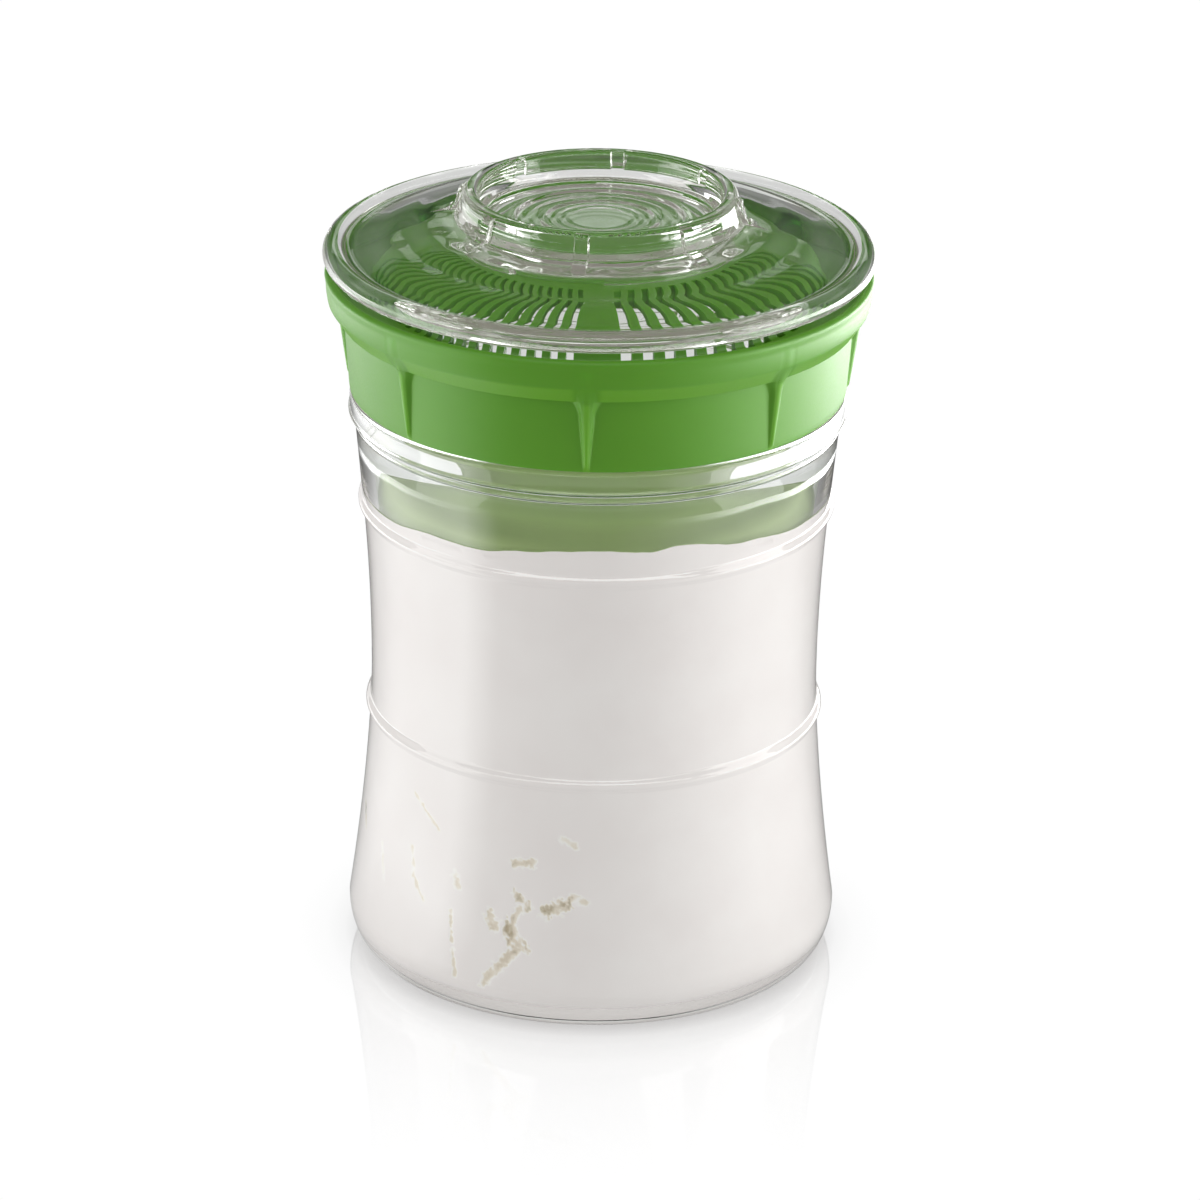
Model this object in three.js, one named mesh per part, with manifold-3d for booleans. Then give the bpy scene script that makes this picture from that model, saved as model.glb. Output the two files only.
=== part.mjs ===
// Kefir jar: a waisted glass jar, a silicone seal, a green strainer lid that screws on, a clear cover
// that lifts off, and the milk and kefir grains inside.
// Millimetres, +Z up, origin at the middle of the foot. The front faces -Y.
import * as THREE from "three";
import { mergeVertices } from "three/addons/utils/BufferGeometryUtils.js";
import Module from "manifold-3d";

const wasm = await Module();
wasm.setup();

// Shared
const facets = 48; // sides of every turned piece
const fit = 0.3; // gap between pieces that touch
const turn = 360; // degrees

// Glass jar: foot and body
const heelReach = 5.5; // from the flat ring that the jar stands on out to the belly
const footRingWidth = 5;
const puntDepth = 1.5; // hollow under the base
const puntSlope = 3;
const heelHeight = 9.5;
const bellyReach = 1.4; // belly beyond the shoulder, at the top of the heel
const waistDepth = 3.6; // waist inside the shoulder
const waistHeight = 64;
const lowerFlare = 1.6; // how fast the body widens below the waist
const upperFlare = 2; // the same above the waist
const lowerBeadHeight = 56.1;
const upperBeadHeight = 103.1;
const upperBeadDepth = 1.8; // body inside the shoulder, at the upper bead
const beadRise = 1;
const beadWidth = 3.2;
const shoulderLedge = 3.5; // from the neck out to the shoulder
const shoulderHeight = 122.6;
const bandRise = 1; // the shoulder band stands proud of the body
const bandStep = 1.8; // height over which it does so
const bandHeight = 4;
const bandRound = 1;
const wall = 3.2;
const floorThickness = 5;
const innerHeel = 3; // rounding between floor and wall inside
const shoulderDrop = 5.1; // the inside starts to draw in this far below the shoulder

// Glass jar: neck and thread
const mouthRadius = 45;
const neckWall = 3.6;
const neckLength = 18;
const lipRound = 1.4;
const threadPitch = 6;
const jarThreadTurns = 1.25;
const lidThreadTurns = 1;
const threadDepth = 1.75;
const threadRoot = 2.8; // ridge width at its root
const threadTip = 1.2; // ridge width at its crest
const threadClearance = 0.6;
const threadRise = 5; // height of the ridge's start over the shoulder
const threadLead = 60; // degrees from the start of the jar's ridge to the start of the lid's
const threadFade = 0.06; // share of a ridge that tapers at each end
const threadSink = 0.5; // how deep a ridge is rooted in its wall

// Seal
const sealThickness = 2;
const sealInset = 0.3; // narrower than the lip by this on each side

// Strainer lid
const lidTurn = -2.3; // degrees, where the front rib stops when the lid is tight
const deckThickness = 2;
const domeReach = 2.6; // foot of the strainer dome, outside the jar's mouth
const domeRound = 5; // how far the dome's side rounds in
const domeEdgeRise = 5.7; // top of the dome's side over the deck
const domeRise = 8; // hub over the deck
const domeWall = 1.2;
const hubInset = 1.6; // hub inside the foot of the finger ring
const bossRise = 1.2; // the middle of the hub keeps the cover centred
const skirtGap = 0.45; // between skirt and shoulder
const skirtWall = 2.2;
const panelLean = 1.1; // the skirt panels widen by this from bottom to top
const bandDrop = 9; // lowest line of the pouring rim, below its top
const flareRound = 3.2; // rounding from the panels out to the pouring rim
const flareReach = 3.1; // how far the pouring rim stands out from the panels
const rimLean = 1; // the pouring rim widens by this from bottom to top
const rimRise = 4; // top of the pouring rim over the deck
const rimWall = 1.9;
const gutterSlope = 1; // the inside of the rim leans in by this towards the deck
const lidRibs = 8;
const lidRibTop = 3.6; // rib width at its top
const lidRibFoot = 1.2;
const lidRibRise = 2.7; // how far a rib stands out at its top
const ribSink = 1; // how deep a rib is rooted
const slotGap = 1.2; // from the hub to the slots
const slotSill = 1; // how deep the slots are cut into the deck
const barAngle = -0.3; // degrees, middle of the solid bar between fine and coarse slots
const fineStart = -6.75; // degrees from the bar to the first fine slot
const finePitch = -4;
const fineWidth = 1.9;
const fineSlots = 20;
const coarseStart = 7.3;
const coarsePitch = 5.6;
const coarseWidth = 2.8;
const coarseSlots = 15;

// Clear cover
const coverTurn = -7.2; // degrees, where the front rib of the finger ring lies
const coverInset = 1.95; // middle of the rounded edge, inside the pouring rim
const edgeTube = 2.4;
const ventGap = 1.35; // between the pouring rim and the cover's edge
const plateThickness = 2.8;
const plateRise = 8.05; // top of the plate at the finger ring, over the middle of the edge
const plateCurve = 1.35; // how much the plate bulges
const grooveRise = 1.25; // top of the groove inside the edge, over the middle of the edge
const grooveInset = 3.2; // groove inside the middle of the edge
const plateEdgeRise = 0.25; // step up from the groove to the plate
const ringRadius = 30.4; // finger ring, outside at its foot
const ringLean = 1.1; // the ring narrows by this up to its top
const ringWall = 3.5;
const ringHeight = 5.6;
const ringRound = 1.3;
const ringFillet = 0.8;
const cupDrop = 0.8; // cup floor below the plate's top at the ring
const cupLean = 1; // the cup narrows by this down to its fillet
const cupFillet = 1.5;
const cupSteps = [18.5, 12]; // radii of the raised rings in the cup
const stepRise = 0.4;
const stepWidth = 2.2;
const collarWall = 2.4; // ring under the plate that stands on the hub
const collarGap = 0.8; // from the hub's boss to the collar
const notchStart = 2; // degrees, breathing notches through the collar
const notchWidth = 44;
const notchHeight = 3.4;
const notchCount = 2;
const coverRibs = 8;
const coverRibWidth = 3.2;
const coverRibRise = 0.7;
const coverRibFoot = 4.5; // how far a rib's buttress runs out over the plate

// Contents
const fillHeight = 109;
const grainLumps = 0.16; // size of the lumps on a grain, as a share of its radius
const grainSeat = 0.55; // how far a grain's middle lies in from the glass, as a share of its radius
// Kefir grains against the glass: degrees from the front, height, radius
const grains = [
  { angle: -75, height: 32, radius: 4.0 },
  { angle: -51, height: 25, radius: 4.4 },
  { angle: -45, height: 41.5, radius: 3.6 },
  { angle: -36, height: 29.5, radius: 3.4 },
  { angle: -26, height: 21, radius: 3.8 },
  { angle: -18, height: 36, radius: 3.2 },
  { angle: -15.5, height: 12.5, radius: 4.0 },
  { angle: -6.5, height: 27, radius: 3.8 },
  { angle: -5, height: 41, radius: 2.8 },
];

// Worked out from the sizes above
const neckRadius = mouthRadius + neckWall;
const shoulderRadius = neckRadius + shoulderLedge;
const bellyRadius = shoulderRadius + bellyReach;
const footRadius = bellyRadius - heelReach;
const waistRadius = shoulderRadius - waistDepth;
const upperBeadBodyRadius = shoulderRadius - upperBeadDepth;
const bandRadius = shoulderRadius + bandRise;
const shoulderTop = shoulderHeight + bandStep + bandHeight;
const lipHeight = shoulderTop + neckLength;
const sealBottom = lipHeight + fit;
const deckBottom = sealBottom + sealThickness + fit;
const deckTop = deckBottom + deckThickness;
const domeRadius = mouthRadius + domeReach;
const hubRadius = ringRadius - hubInset;
const hubTop = deckTop + domeRise;
const skirtInner = neckRadius + threadDepth + threadClearance;
const skirtOuter = skirtInner + skirtWall;
const skirtBottom = shoulderTop + skirtGap;
const rimTop = deckTop + rimRise;
const bandBottom = rimTop - bandDrop;
const panelTop = bandBottom - flareRound / 2;
const rimFoot = skirtOuter + panelLean + flareReach;
const rimRadius = rimFoot + rimLean;
const collarOuter = hubRadius - collarGap;
const collarInner = collarOuter - collarWall;
const bossRadius = collarInner - collarGap;
const collarBottom = hubTop + fit;
const coverEdgeRadius = rimRadius - coverInset;
const grooveRadius = coverEdgeRadius - grooveInset;
const edgeHeight = rimTop + ventGap + edgeTube;
const plateTop = edgeHeight + plateRise;
const ringTop = plateTop + ringHeight;
const ringTopRadius = ringRadius - ringLean;
const cupFloor = plateTop - cupDrop;

const point = (radius, height) => new THREE.Vector2(radius, height);
const radians = THREE.MathUtils.degToRad;

// A point at an angle from the front, positive to the right
function around(radius, degrees, height) {
  const angle = radians(degrees);
  return new THREE.Vector3(radius * Math.sin(angle), -radius * Math.cos(angle), height);
}

function arc(centreRadius, centreHeight, acrossRadius, upRadius, fromDegrees, toDegrees, steps) {
  return Array.from({ length: steps + 1 }, (_, i) => {
    const angle = radians(fromDegrees + ((toDegrees - fromDegrees) * i) / steps);
    return point(
      centreRadius + acrossRadius * Math.cos(angle),
      centreHeight + upRadius * Math.sin(angle),
    );
  });
}

// Solids

function solid(geometry) {
  const bare = geometry.clone();
  bare.deleteAttribute("normal");
  bare.deleteAttribute("uv");
  const merged = mergeVertices(bare, 1e-4);
  return new wasm.Manifold(
    new wasm.Mesh({
      numProp: 3,
      vertProperties: new Float32Array(merged.attributes.position.array),
      triVerts: new Uint32Array(merged.index.array),
    }),
  );
}

function geometryOf(manifold) {
  const made = manifold.getMesh();
  return new THREE.BufferGeometry()
    .setAttribute("position", new THREE.BufferAttribute(made.vertProperties, 3))
    .setIndex(new THREE.BufferAttribute(made.triVerts, 1));
}

// A profile that starts and ends on the axis, or closes on itself, turned about Z
function turned(profile) {
  return solid(new THREE.LatheGeometry(profile, facets).rotateX(Math.PI / 2));
}

// A box whose unit sides (along to the right, out from the axis, up) are bent into place by a function
function bentBox(alongSteps, upSteps, place) {
  const box = new THREE.BoxGeometry(1, 1, 1, alongSteps, 1, upSteps);
  const corners = box.attributes.position;
  for (let i = 0; i < corners.count; i++) {
    const bent = place(0.5 - corners.getX(i), corners.getY(i) + 0.5, corners.getZ(i) + 0.5);
    corners.setXYZ(i, bent.x, bent.y, bent.z);
  }
  return solid(box);
}

// Glass jar

function bodyRadius(height) {
  if (height <= waistHeight) {
    const share = (waistHeight - height) / (waistHeight - heelHeight);
    return waistRadius + (bellyRadius - waistRadius) * share ** lowerFlare;
  }
  if (height <= upperBeadHeight) {
    const share = (height - waistHeight) / (upperBeadHeight - waistHeight);
    return waistRadius + (upperBeadBodyRadius - waistRadius) * share ** upperFlare;
  }
  const share = (height - upperBeadHeight) / (shoulderHeight - upperBeadHeight);
  return upperBeadBodyRadius + (shoulderRadius - upperBeadBodyRadius) * share;
}

function bodyWall(fromHeight, toHeight, steps, inset) {
  return Array.from({ length: steps }, (_, i) => {
    const height = fromHeight + ((toHeight - fromHeight) * (i + 0.5)) / steps;
    return point(bodyRadius(height) - inset, height);
  });
}

function bead(height) {
  return [-1, -0.5, 0, 0.5, 1].map((share) => {
    const level = height + (share * beadWidth) / 2;
    return point(bodyRadius(level) + beadRise * Math.cos((share * Math.PI) / 2), level);
  });
}

// The inside of the jar, from the middle of the floor up the wall to the start of the shoulder
function cavity(gap, top) {
  const heelTop = floorThickness + innerHeel;
  const heelMiddle = bodyRadius(heelTop) - wall - innerHeel;
  return [
    point(0, floorThickness + gap),
    ...arc(heelMiddle, heelTop, innerHeel - gap, innerHeel - gap, -90, 0, 3),
    ...bodyWall(heelTop, top, 7, wall + gap),
    point(bodyRadius(top) - wall - gap, top),
  ];
}

function ridge(turns, startAngle, startHeight, rootRadius, crestRadius) {
  const rootSink = Math.sign(rootRadius - crestRadius) * threadSink;
  const outward = crestRadius > rootRadius;
  return bentBox(Math.round(turns * facets), 1, (along, out, up) => {
    const fade = Math.min(1, along / threadFade, (1 - along) / threadFade);
    const share = outward ? out : 1 - out;
    const crest = rootRadius + (crestRadius - rootRadius) * fade;
    const radius = share > 0.5 ? crest : rootRadius + rootSink;
    const width = share > 0.5 ? threadTip : threadRoot;
    const degrees = startAngle + along * turns * turn;
    const height = startHeight + along * turns * threadPitch + (up - 0.5) * width;
    return around(radius, degrees, height);
  });
}

function makeJar() {
  const beadEdge = beadWidth / 2;
  const bandFoot = shoulderHeight + bandStep;
  const drawIn = shoulderHeight - shoulderDrop;
  const outside = [
    point(0, puntDepth),
    point(footRadius - footRingWidth - puntSlope, puntDepth),
    point(footRadius - footRingWidth, 0),
    point(footRadius, 0),
    ...arc(footRadius, heelHeight, bellyRadius - footRadius, heelHeight, -67.5, 0, 3),
    ...bodyWall(heelHeight, lowerBeadHeight - beadEdge, 4, 0),
    ...bead(lowerBeadHeight),
    ...bodyWall(lowerBeadHeight + beadEdge, upperBeadHeight - beadEdge, 4, 0),
    ...bead(upperBeadHeight),
    ...bodyWall(upperBeadHeight + beadEdge, shoulderHeight, 1, 0),
    point(shoulderRadius, shoulderHeight),
    point(bandRadius, bandFoot),
    point(bandRadius, shoulderTop - bandRound),
    point(bandRadius - bandRound, shoulderTop),
    point(neckRadius, shoulderTop),
    ...arc(neckRadius - lipRound, lipHeight - lipRound, lipRound, lipRound, 0, 90, 2),
  ];
  const inside = [
    ...arc(mouthRadius + lipRound, lipHeight - lipRound, lipRound, lipRound, 90, 180, 2),
    point(mouthRadius, shoulderTop),
    ...cavity(0, drawIn).reverse(),
  ];
  const thread = ridge(
    jarThreadTurns,
    0,
    shoulderTop + threadRise,
    neckRadius,
    neckRadius + threadDepth,
  );
  return turned([...outside, ...inside]).add(thread);
}

// Seal

function makeSeal() {
  const inner = mouthRadius + sealInset;
  const outer = neckRadius - sealInset;
  return turned([
    point(inner, sealBottom),
    point(outer, sealBottom),
    point(outer, sealBottom + sealThickness),
    point(inner, sealBottom + sealThickness),
    point(inner, sealBottom),
  ]);
}

// Strainer lid

const panelRadius = (share) => skirtOuter + panelLean * share;

function lidRib(degrees) {
  const height = bandBottom + ribSink - skirtBottom;
  return bentBox(1, 5, (along, out, up) => {
    const width = lidRibFoot + (lidRibTop - lidRibFoot) * up ** 1.5;
    const radius = panelRadius(up) + (out > 0.5 ? lidRibRise * up ** 1.2 : -ribSink);
    const across = radians(degrees);
    const offset = (along - 0.5) * width;
    return around(radius, degrees, skirtBottom + height * up).add(
      new THREE.Vector3(offset * Math.cos(across), offset * Math.sin(across), 0),
    );
  });
}

// A cut through the top and the side of the dome
function slot(degrees, width) {
  const inner = hubRadius + slotGap;
  const outer = domeRadius + slotGap;
  const bottom = deckTop - slotSill;
  const height = hubTop + slotGap - bottom;
  return bentBox(1, 1, (along, out, up) =>
    around(inner + (outer - inner) * out, degrees + (along - 0.5) * width, bottom + height * up),
  );
}

function slots() {
  const fine = Array.from({ length: fineSlots }, (_, i) =>
    slot(barAngle + fineStart + i * finePitch, fineWidth),
  );
  const coarse = Array.from({ length: coarseSlots }, (_, i) =>
    slot(barAngle + coarseStart + i * coarsePitch, coarseWidth),
  );
  return [...fine, ...coarse];
}

function makeLid() {
  const rimInner = rimRadius - rimWall;
  const domeMiddle = domeRadius - domeRound;
  const domeInside = domeRound - domeWall;
  const shell = turned([
    point(0, hubTop - deckThickness),
    point(hubRadius, hubTop - deckThickness),
    ...arc(domeMiddle, deckTop, domeInside, domeEdgeRise - domeWall, 90, 0, 3),
    point(domeMiddle + domeInside, deckBottom),
    point(skirtInner, deckBottom),
    point(skirtInner, skirtBottom),
    point(skirtOuter, skirtBottom),
    point(panelRadius(1), panelTop),
    ...arc(panelRadius(1), panelTop + flareRound, flareReach, flareRound, -60, 0, 2),
    point(rimRadius, rimTop - rimWall / 2),
    ...arc(rimRadius - rimWall / 2, rimTop - rimWall / 2, rimWall / 2, rimWall / 2, 45, 180, 3),
    point(rimInner - gutterSlope, deckTop),
    ...arc(domeMiddle, deckTop, domeRound, domeEdgeRise, 0, 90, 3),
    point(hubRadius, hubTop),
    point(bossRadius, hubTop),
    point(bossRadius, hubTop + bossRise),
    point(0, hubTop + bossRise),
  ]);
  const ribs = Array.from({ length: lidRibs }, (_, i) => lidRib(lidTurn + (i * turn) / lidRibs));
  const offset = threadRoot / 2 + threadTip / 2 + fit;
  const lead = (threadLead / turn) * threadPitch;
  const thread = ridge(
    lidThreadTurns,
    threadLead,
    shoulderTop + threadRise + lead - offset,
    skirtInner,
    neckRadius + threadClearance,
  );
  const joined = ribs.reduce((whole, rib) => whole.add(rib), shell.add(thread));
  return slots().reduce((whole, cut) => whole.subtract(cut), joined);
}

// Clear cover

function coverRib(degrees) {
  const foot = plateTop - plateThickness / 2;
  const height = ringTop - ringRound - foot;
  return bentBox(1, 4, (along, out, up) => {
    const reach = coverRibRise + coverRibFoot * (1 - up) ** 3;
    const radius = ringRadius - ringLean * up + (out > 0.5 ? reach : -ribSink);
    const across = radians(degrees);
    const offset = (along - 0.5) * coverRibWidth;
    return around(radius, degrees, foot + height * up).add(
      new THREE.Vector3(offset * Math.cos(across), offset * Math.sin(across), 0),
    );
  });
}

// An opening through the collar, from its lower edge up
function collarNotch(degrees) {
  return bentBox(8, 1, (along, out, up) =>
    around(
      collarInner - collarGap / 2 + (collarWall + collarGap) * out,
      degrees + along * notchWidth,
      collarBottom - fit + (notchHeight + fit) * up,
    ),
  );
}

function cupStep(radius) {
  return [
    point(radius + stepWidth / 2, cupFloor),
    point(radius + stepWidth / 4, cupFloor + stepRise),
    point(radius - stepWidth / 4, cupFloor + stepRise),
    point(radius - stepWidth / 2, cupFloor),
  ];
}

function makeCover() {
  const underside = cupFloor - plateThickness;
  const plateEdge = edgeHeight + grooveRise + plateEdgeRise;
  const plateEdgeRadius = grooveRadius - plateEdgeRise;
  const ringInner = ringTopRadius - ringWall;
  const cupRadius = ringInner - cupLean;
  const filletEdge = ringRadius + ringFillet;
  // The plate's height between its edge (share 0) and the finger ring (share 1)
  const plate = (share, lower) =>
    point(
      plateEdgeRadius + (filletEdge - plateEdgeRadius) * share,
      plateEdge + (plateTop - plateEdge) * (1 - (1 - share) ** plateCurve) - lower,
    );
  const cover = turned([
    point(0, underside),
    point(collarInner, underside),
    point(collarInner, collarBottom),
    point(collarOuter, collarBottom),
    point(collarOuter, plateTop - plateThickness),
    ...[0.75, 0.4, 0].map((share) => plate(share, plateThickness)),
    ...arc(coverEdgeRadius, edgeHeight, edgeTube, edgeTube, 210, 495, 8),
    point(grooveRadius, edgeHeight + grooveRise),
    ...[0, 0.4, 0.75, 1].map((share) => plate(share, 0)),
    point(ringRadius, plateTop + ringFillet),
    point(ringTopRadius, ringTop - ringRound),
    ...arc(ringTopRadius - ringRound, ringTop - ringRound, ringRound, ringRound, 45, 90, 1),
    ...arc(ringInner + ringRound, ringTop - ringRound, ringRound, ringRound, 90, 180, 2),
    point(cupRadius, cupFloor + cupFillet),
    point(cupRadius - cupFillet, cupFloor),
    ...cupSteps.flatMap(cupStep),
    point(0, cupFloor),
  ]);
  const ribs = Array.from({ length: coverRibs }, (_, i) =>
    coverRib(coverTurn + (i * turn) / coverRibs),
  );
  const notches = Array.from({ length: notchCount }, (_, i) =>
    collarNotch(notchStart + (i * turn) / notchCount),
  );
  const ribbed = ribs.reduce((whole, rib) => whole.add(rib), cover);
  return notches.reduce((whole, cut) => whole.subtract(cut), ribbed);
}

// Contents

function lumpyGrain({ angle, height, radius }, gap) {
  const ball = new THREE.IcosahedronGeometry(1, 1);
  const corners = ball.attributes.position;
  const middle = around(bodyRadius(height) - wall - radius * grainSeat, angle, height);
  for (let i = 0; i < corners.count; i++) {
    const way = new THREE.Vector3().fromBufferAttribute(corners, i);
    const lump = Math.sin(3 * way.x + angle) + Math.sin(4 * way.y + height) + Math.sin(3 * way.z);
    way.multiplyScalar(radius * (1 + (grainLumps * lump) / 3) + gap).add(middle);
    corners.setXYZ(i, way.x, way.y, way.z);
  }
  return solid(ball);
}

function fill() {
  return turned([...cavity(fit, fillHeight), point(0, fillHeight)]);
}

const makeMilk = () =>
  grains.reduce((whole, grain) => whole.subtract(lumpyGrain(grain, fit)), fill());

const makeGrain = (grain) => lumpyGrain(grain, 0).intersect(fill());

// Materials

const glass = new THREE.MeshStandardMaterial({
  color: 0xe6efe9,
  roughness: 0.04,
  metalness: 0,
  transparent: true,
  opacity: 0.3,
});
const clearPlastic = new THREE.MeshStandardMaterial({
  color: 0xf2f5f1,
  roughness: 0.06,
  metalness: 0,
  transparent: true,
  opacity: 0.3,
});
const greenPlastic = new THREE.MeshStandardMaterial({ color: 0x5fa02f, roughness: 0.38, metalness: 0 });
const silicone = new THREE.MeshStandardMaterial({ color: 0xe9ece6, roughness: 0.6, metalness: 0 });
const milk = new THREE.MeshStandardMaterial({ color: 0xf4f1ec, roughness: 0.5, metalness: 0 });
const curd = new THREE.MeshStandardMaterial({ color: 0xe4d9c2, roughness: 0.6, metalness: 0 });

// Assembly

const jar = new THREE.Group();

function addPiece(name, manifold, material) {
  const piece = new THREE.Mesh(geometryOf(manifold), material);
  piece.name = name;
  jar.add(piece);
}

addPiece("glass_jar", makeJar(), glass);
addPiece("lid_seal", makeSeal(), silicone);
addPiece("strainer_lid", makeLid(), greenPlastic);
addPiece("clear_cover", makeCover(), clearPlastic);
addPiece("kefir_milk", makeMilk(), milk);
grains.forEach((grain, i) => addPiece(`kefir_grain_${i + 1}`, makeGrain(grain), curd));

export default jar;
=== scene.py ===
from math import atan2, copysign, cos, degrees, hypot, pi, radians, sin, tau

import bpy
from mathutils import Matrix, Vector, noise


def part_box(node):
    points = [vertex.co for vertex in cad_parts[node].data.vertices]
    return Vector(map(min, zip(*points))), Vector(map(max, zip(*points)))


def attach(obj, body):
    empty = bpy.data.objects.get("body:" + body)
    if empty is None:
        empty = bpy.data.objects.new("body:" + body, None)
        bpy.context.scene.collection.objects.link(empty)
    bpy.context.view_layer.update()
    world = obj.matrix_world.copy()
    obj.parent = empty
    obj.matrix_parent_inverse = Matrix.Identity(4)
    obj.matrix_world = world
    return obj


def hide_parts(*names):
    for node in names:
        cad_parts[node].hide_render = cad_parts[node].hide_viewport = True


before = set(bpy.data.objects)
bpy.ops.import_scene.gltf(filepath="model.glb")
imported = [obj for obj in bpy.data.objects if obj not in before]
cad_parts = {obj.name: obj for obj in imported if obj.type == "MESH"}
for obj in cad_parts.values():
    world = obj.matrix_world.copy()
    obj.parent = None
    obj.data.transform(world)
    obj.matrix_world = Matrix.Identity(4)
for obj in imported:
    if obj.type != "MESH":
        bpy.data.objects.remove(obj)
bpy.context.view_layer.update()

# The jar stands at the origin with its front towards -Y. Sizes below are millimetres, and MM turns them
# into Blender's metres. Angles are degrees from the front, positive to the right. A section is a list of
# (radius, height), and a share runs from 0 to 1.
MM = 0.001
SEAM = 0.002 * MM  # corners closer than this are one corner
NEAR_AXIS = 1.0  # corners nearer the axis than this stay where they are


def node_box(node):
    """A CAD node's lowest and highest corner, in millimetres."""
    low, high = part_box(node)
    return [c / MM for c in low], [c / MM for c in high]


seal_low, seal_high = node_box("lid_seal")
lid_low, lid_high = node_box("strainer_lid")
jar_high = node_box("glass_jar")[1]
cover_high = node_box("clear_cover")[1]
milk_high = node_box("kefir_milk")[1]

# Fineness: columns of each spun piece, and degrees between faces past which an edge looks sharp
JAR_COLUMNS = 192
SEAL_COLUMNS = 160
LID_COLUMNS = 480
COVER_COLUMNS = 480
MILK_COLUMNS = 384
THREAD_COLUMNS = 120
PLASTIC_SHARP = 32
CLEAR_SHARP = 40
CURD_SHARP = 60

# Glass jar
BELLY_RADIUS = jar_high[0]
LIP_HEIGHT = jar_high[2]
SHOULDER_RADIUS = BELLY_RADIUS - 1.4
WAIST_RADIUS = BELLY_RADIUS - 5.0
WAIST_HEIGHT = 64.0
LOWER_CURVE = 1.6  # how the body widens below the waist
UPPER_CURVE = 2  # and above it
HEEL_HEIGHT = 9.5
FOOT_RADIUS = BELLY_RADIUS - 5.5
FOOT_RING = 5.0
PUNT_DEPTH = 1.5
PUNT_FLAT = 0.9  # share of the hollow underside that is flat
LOWER_BEAD = 56.1
UPPER_BEAD = 103.1
UPPER_BEAD_RADIUS = SHOULDER_RADIUS - 1.8
BEAD_RISE = 1.0
BEAD_WIDTH = 3.6
BEAD_FULLNESS = 0.8
BEAD_MARGIN = 0.3
SHOULDER_HEIGHT = 122.6
BAND_RADIUS = SHOULDER_RADIUS + 1.0
BAND_FOOT = SHOULDER_HEIGHT + 0.3
BAND_STEP = 1.2
SHOULDER_LINES = ((BAND_FOOT + 1.0, 0.35, 0.7), (BAND_FOOT - 1.1, 0.3, 0.55))  # height, rise, half width
LINES_FROM = BAND_FOOT - 2.0
LINES_TO = BAND_FOOT + 2.0
LINES_STEP = 0.12
DRAW_IN = SHOULDER_HEIGHT - 7.0  # where the inside starts to narrow towards the mouth
SHOULDER_TOP = LIP_HEIGHT - 18.0
LEDGE_ROUND = 1.1
NECK_FILLET = 0.7
NECK_FOOT = SHOULDER_TOP + 2.6  # from here up the inside is as narrow as the mouth
GLASS_WALL = 3.2
FLOOR_HEIGHT = 5.0
INNER_HEEL = 3.0
NECK_WALL = 3.6
MOUTH_RADIUS = -seal_low[0] - 3.3
NECK_RADIUS = MOUTH_RADIUS + NECK_WALL
LIP_ROUND = 1.4
GLASS_WOBBLE = 0.1  # how far the pressed inner wall strays
WOBBLE_LENGTH = 30.0
WOBBLE_RATE = 4

# Thread
PITCH = 6.0
THREAD_DEPTH = 1.75
THREAD_ROOT = 2.8
THREAD_TIP = 1.2
THREAD_START = SHOULDER_TOP + 5.0
THREAD_LEAD = 60.0
THREAD_FADE = 0.06  # share of a ridge that tapers at each end
THREAD_SINK = 0.5  # how far a ridge is rooted in its wall
THREAD_GAP = 0.6
THREAD_PLAY = 0.3
JAR_TURNS = 1.25
LID_TURNS = 1.0

# Seal
SEAL_INNER = MOUTH_RADIUS + 0.3
SEAL_ROUND = 0.45
SEAL_GROOVE = 0.35

# Strainer lid
LID_TURN = -2.3
SKIRT_BOTTOM = lid_low[2]
RIM_RADIUS = lid_high[0]
DECK = 2.0
DECK_BOTTOM = seal_high[2] + 0.3
DECK_TOP = DECK_BOTTOM + DECK
SKIRT_INNER = NECK_RADIUS + THREAD_DEPTH + THREAD_GAP
SKIRT_OUTER = SKIRT_INNER + 2.2
SKIRT_ROUND = 0.5
SKIRT_INNER_ROUND = 0.6
PANEL_LEAN = 1.1
RIM_TOP = DECK_TOP + 4.0
PANEL_TOP = RIM_TOP - 10.6
FLARE_BOTTOM = PANEL_TOP + 0.8
FLARE_TOP = RIM_TOP - 2.5
FLARE_RADIUS = RIM_RADIUS - 0.25
STRIP_TOP = RIM_TOP - 6.4  # below this the rim slopes in to the panels
STRIP_RADIUS = RIM_RADIUS - 0.7
STRIP_LIP = 1.0  # the sloped strip overhangs the panels by this
RIM_WALL = 1.9
RIM_ROUND = RIM_WALL / 2
GUTTER_ROUND = 1.0
GUTTER_LEAN = 0.35
GUTTER_LIP = 1.4
DOME_RADIUS = MOUTH_RADIUS + 2.6
DOME_ROUND = 5.0
DOME_EDGE = 5.7
DOME_WALL = 1.2
HUB_TOP = DECK_TOP + 8.0
HUB_RADIUS = 28.8
BOSS_RADIUS = 24.8
BOSS_TOP = lid_high[2]
BOSS_ROUND = 0.4
BOSS_DRAFT = 0.3
LID_RIBS = 8
RIB_TOP = FLARE_TOP - 3.0
RIB_FOOT = 0.45  # how far a rib stands out at its foot
RIB_SLOPE = 1.5  # added evenly up to its top
RIB_HEAD = 1.15  # added where it runs out into the pouring rim
RIB_CROWN = 0.25  # rounding of its crown
RIB_FILLET = 1.0
RIB_START = SKIRT_BOTTOM + 0.3
RIB_EASE = 1.4  # height over which a rib rises out of the skirt's edge
CROWN_FOOT = 0.4  # half width of a rib's crown at its foot
CROWN_GAIN = 0.45  # added up to the top of the panels
CROWN_FLARE = 0.3  # added in the flare above them
FLANK_FOOT = 0.4  # and the width of its flanks, in the same way
FLANK_GAIN = 0.65
FLANK_FLARE = 2.2
SLOT_INNER = HUB_RADIUS + 1.2
SLOT_OUTER = DOME_RADIUS + 1.2
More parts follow.
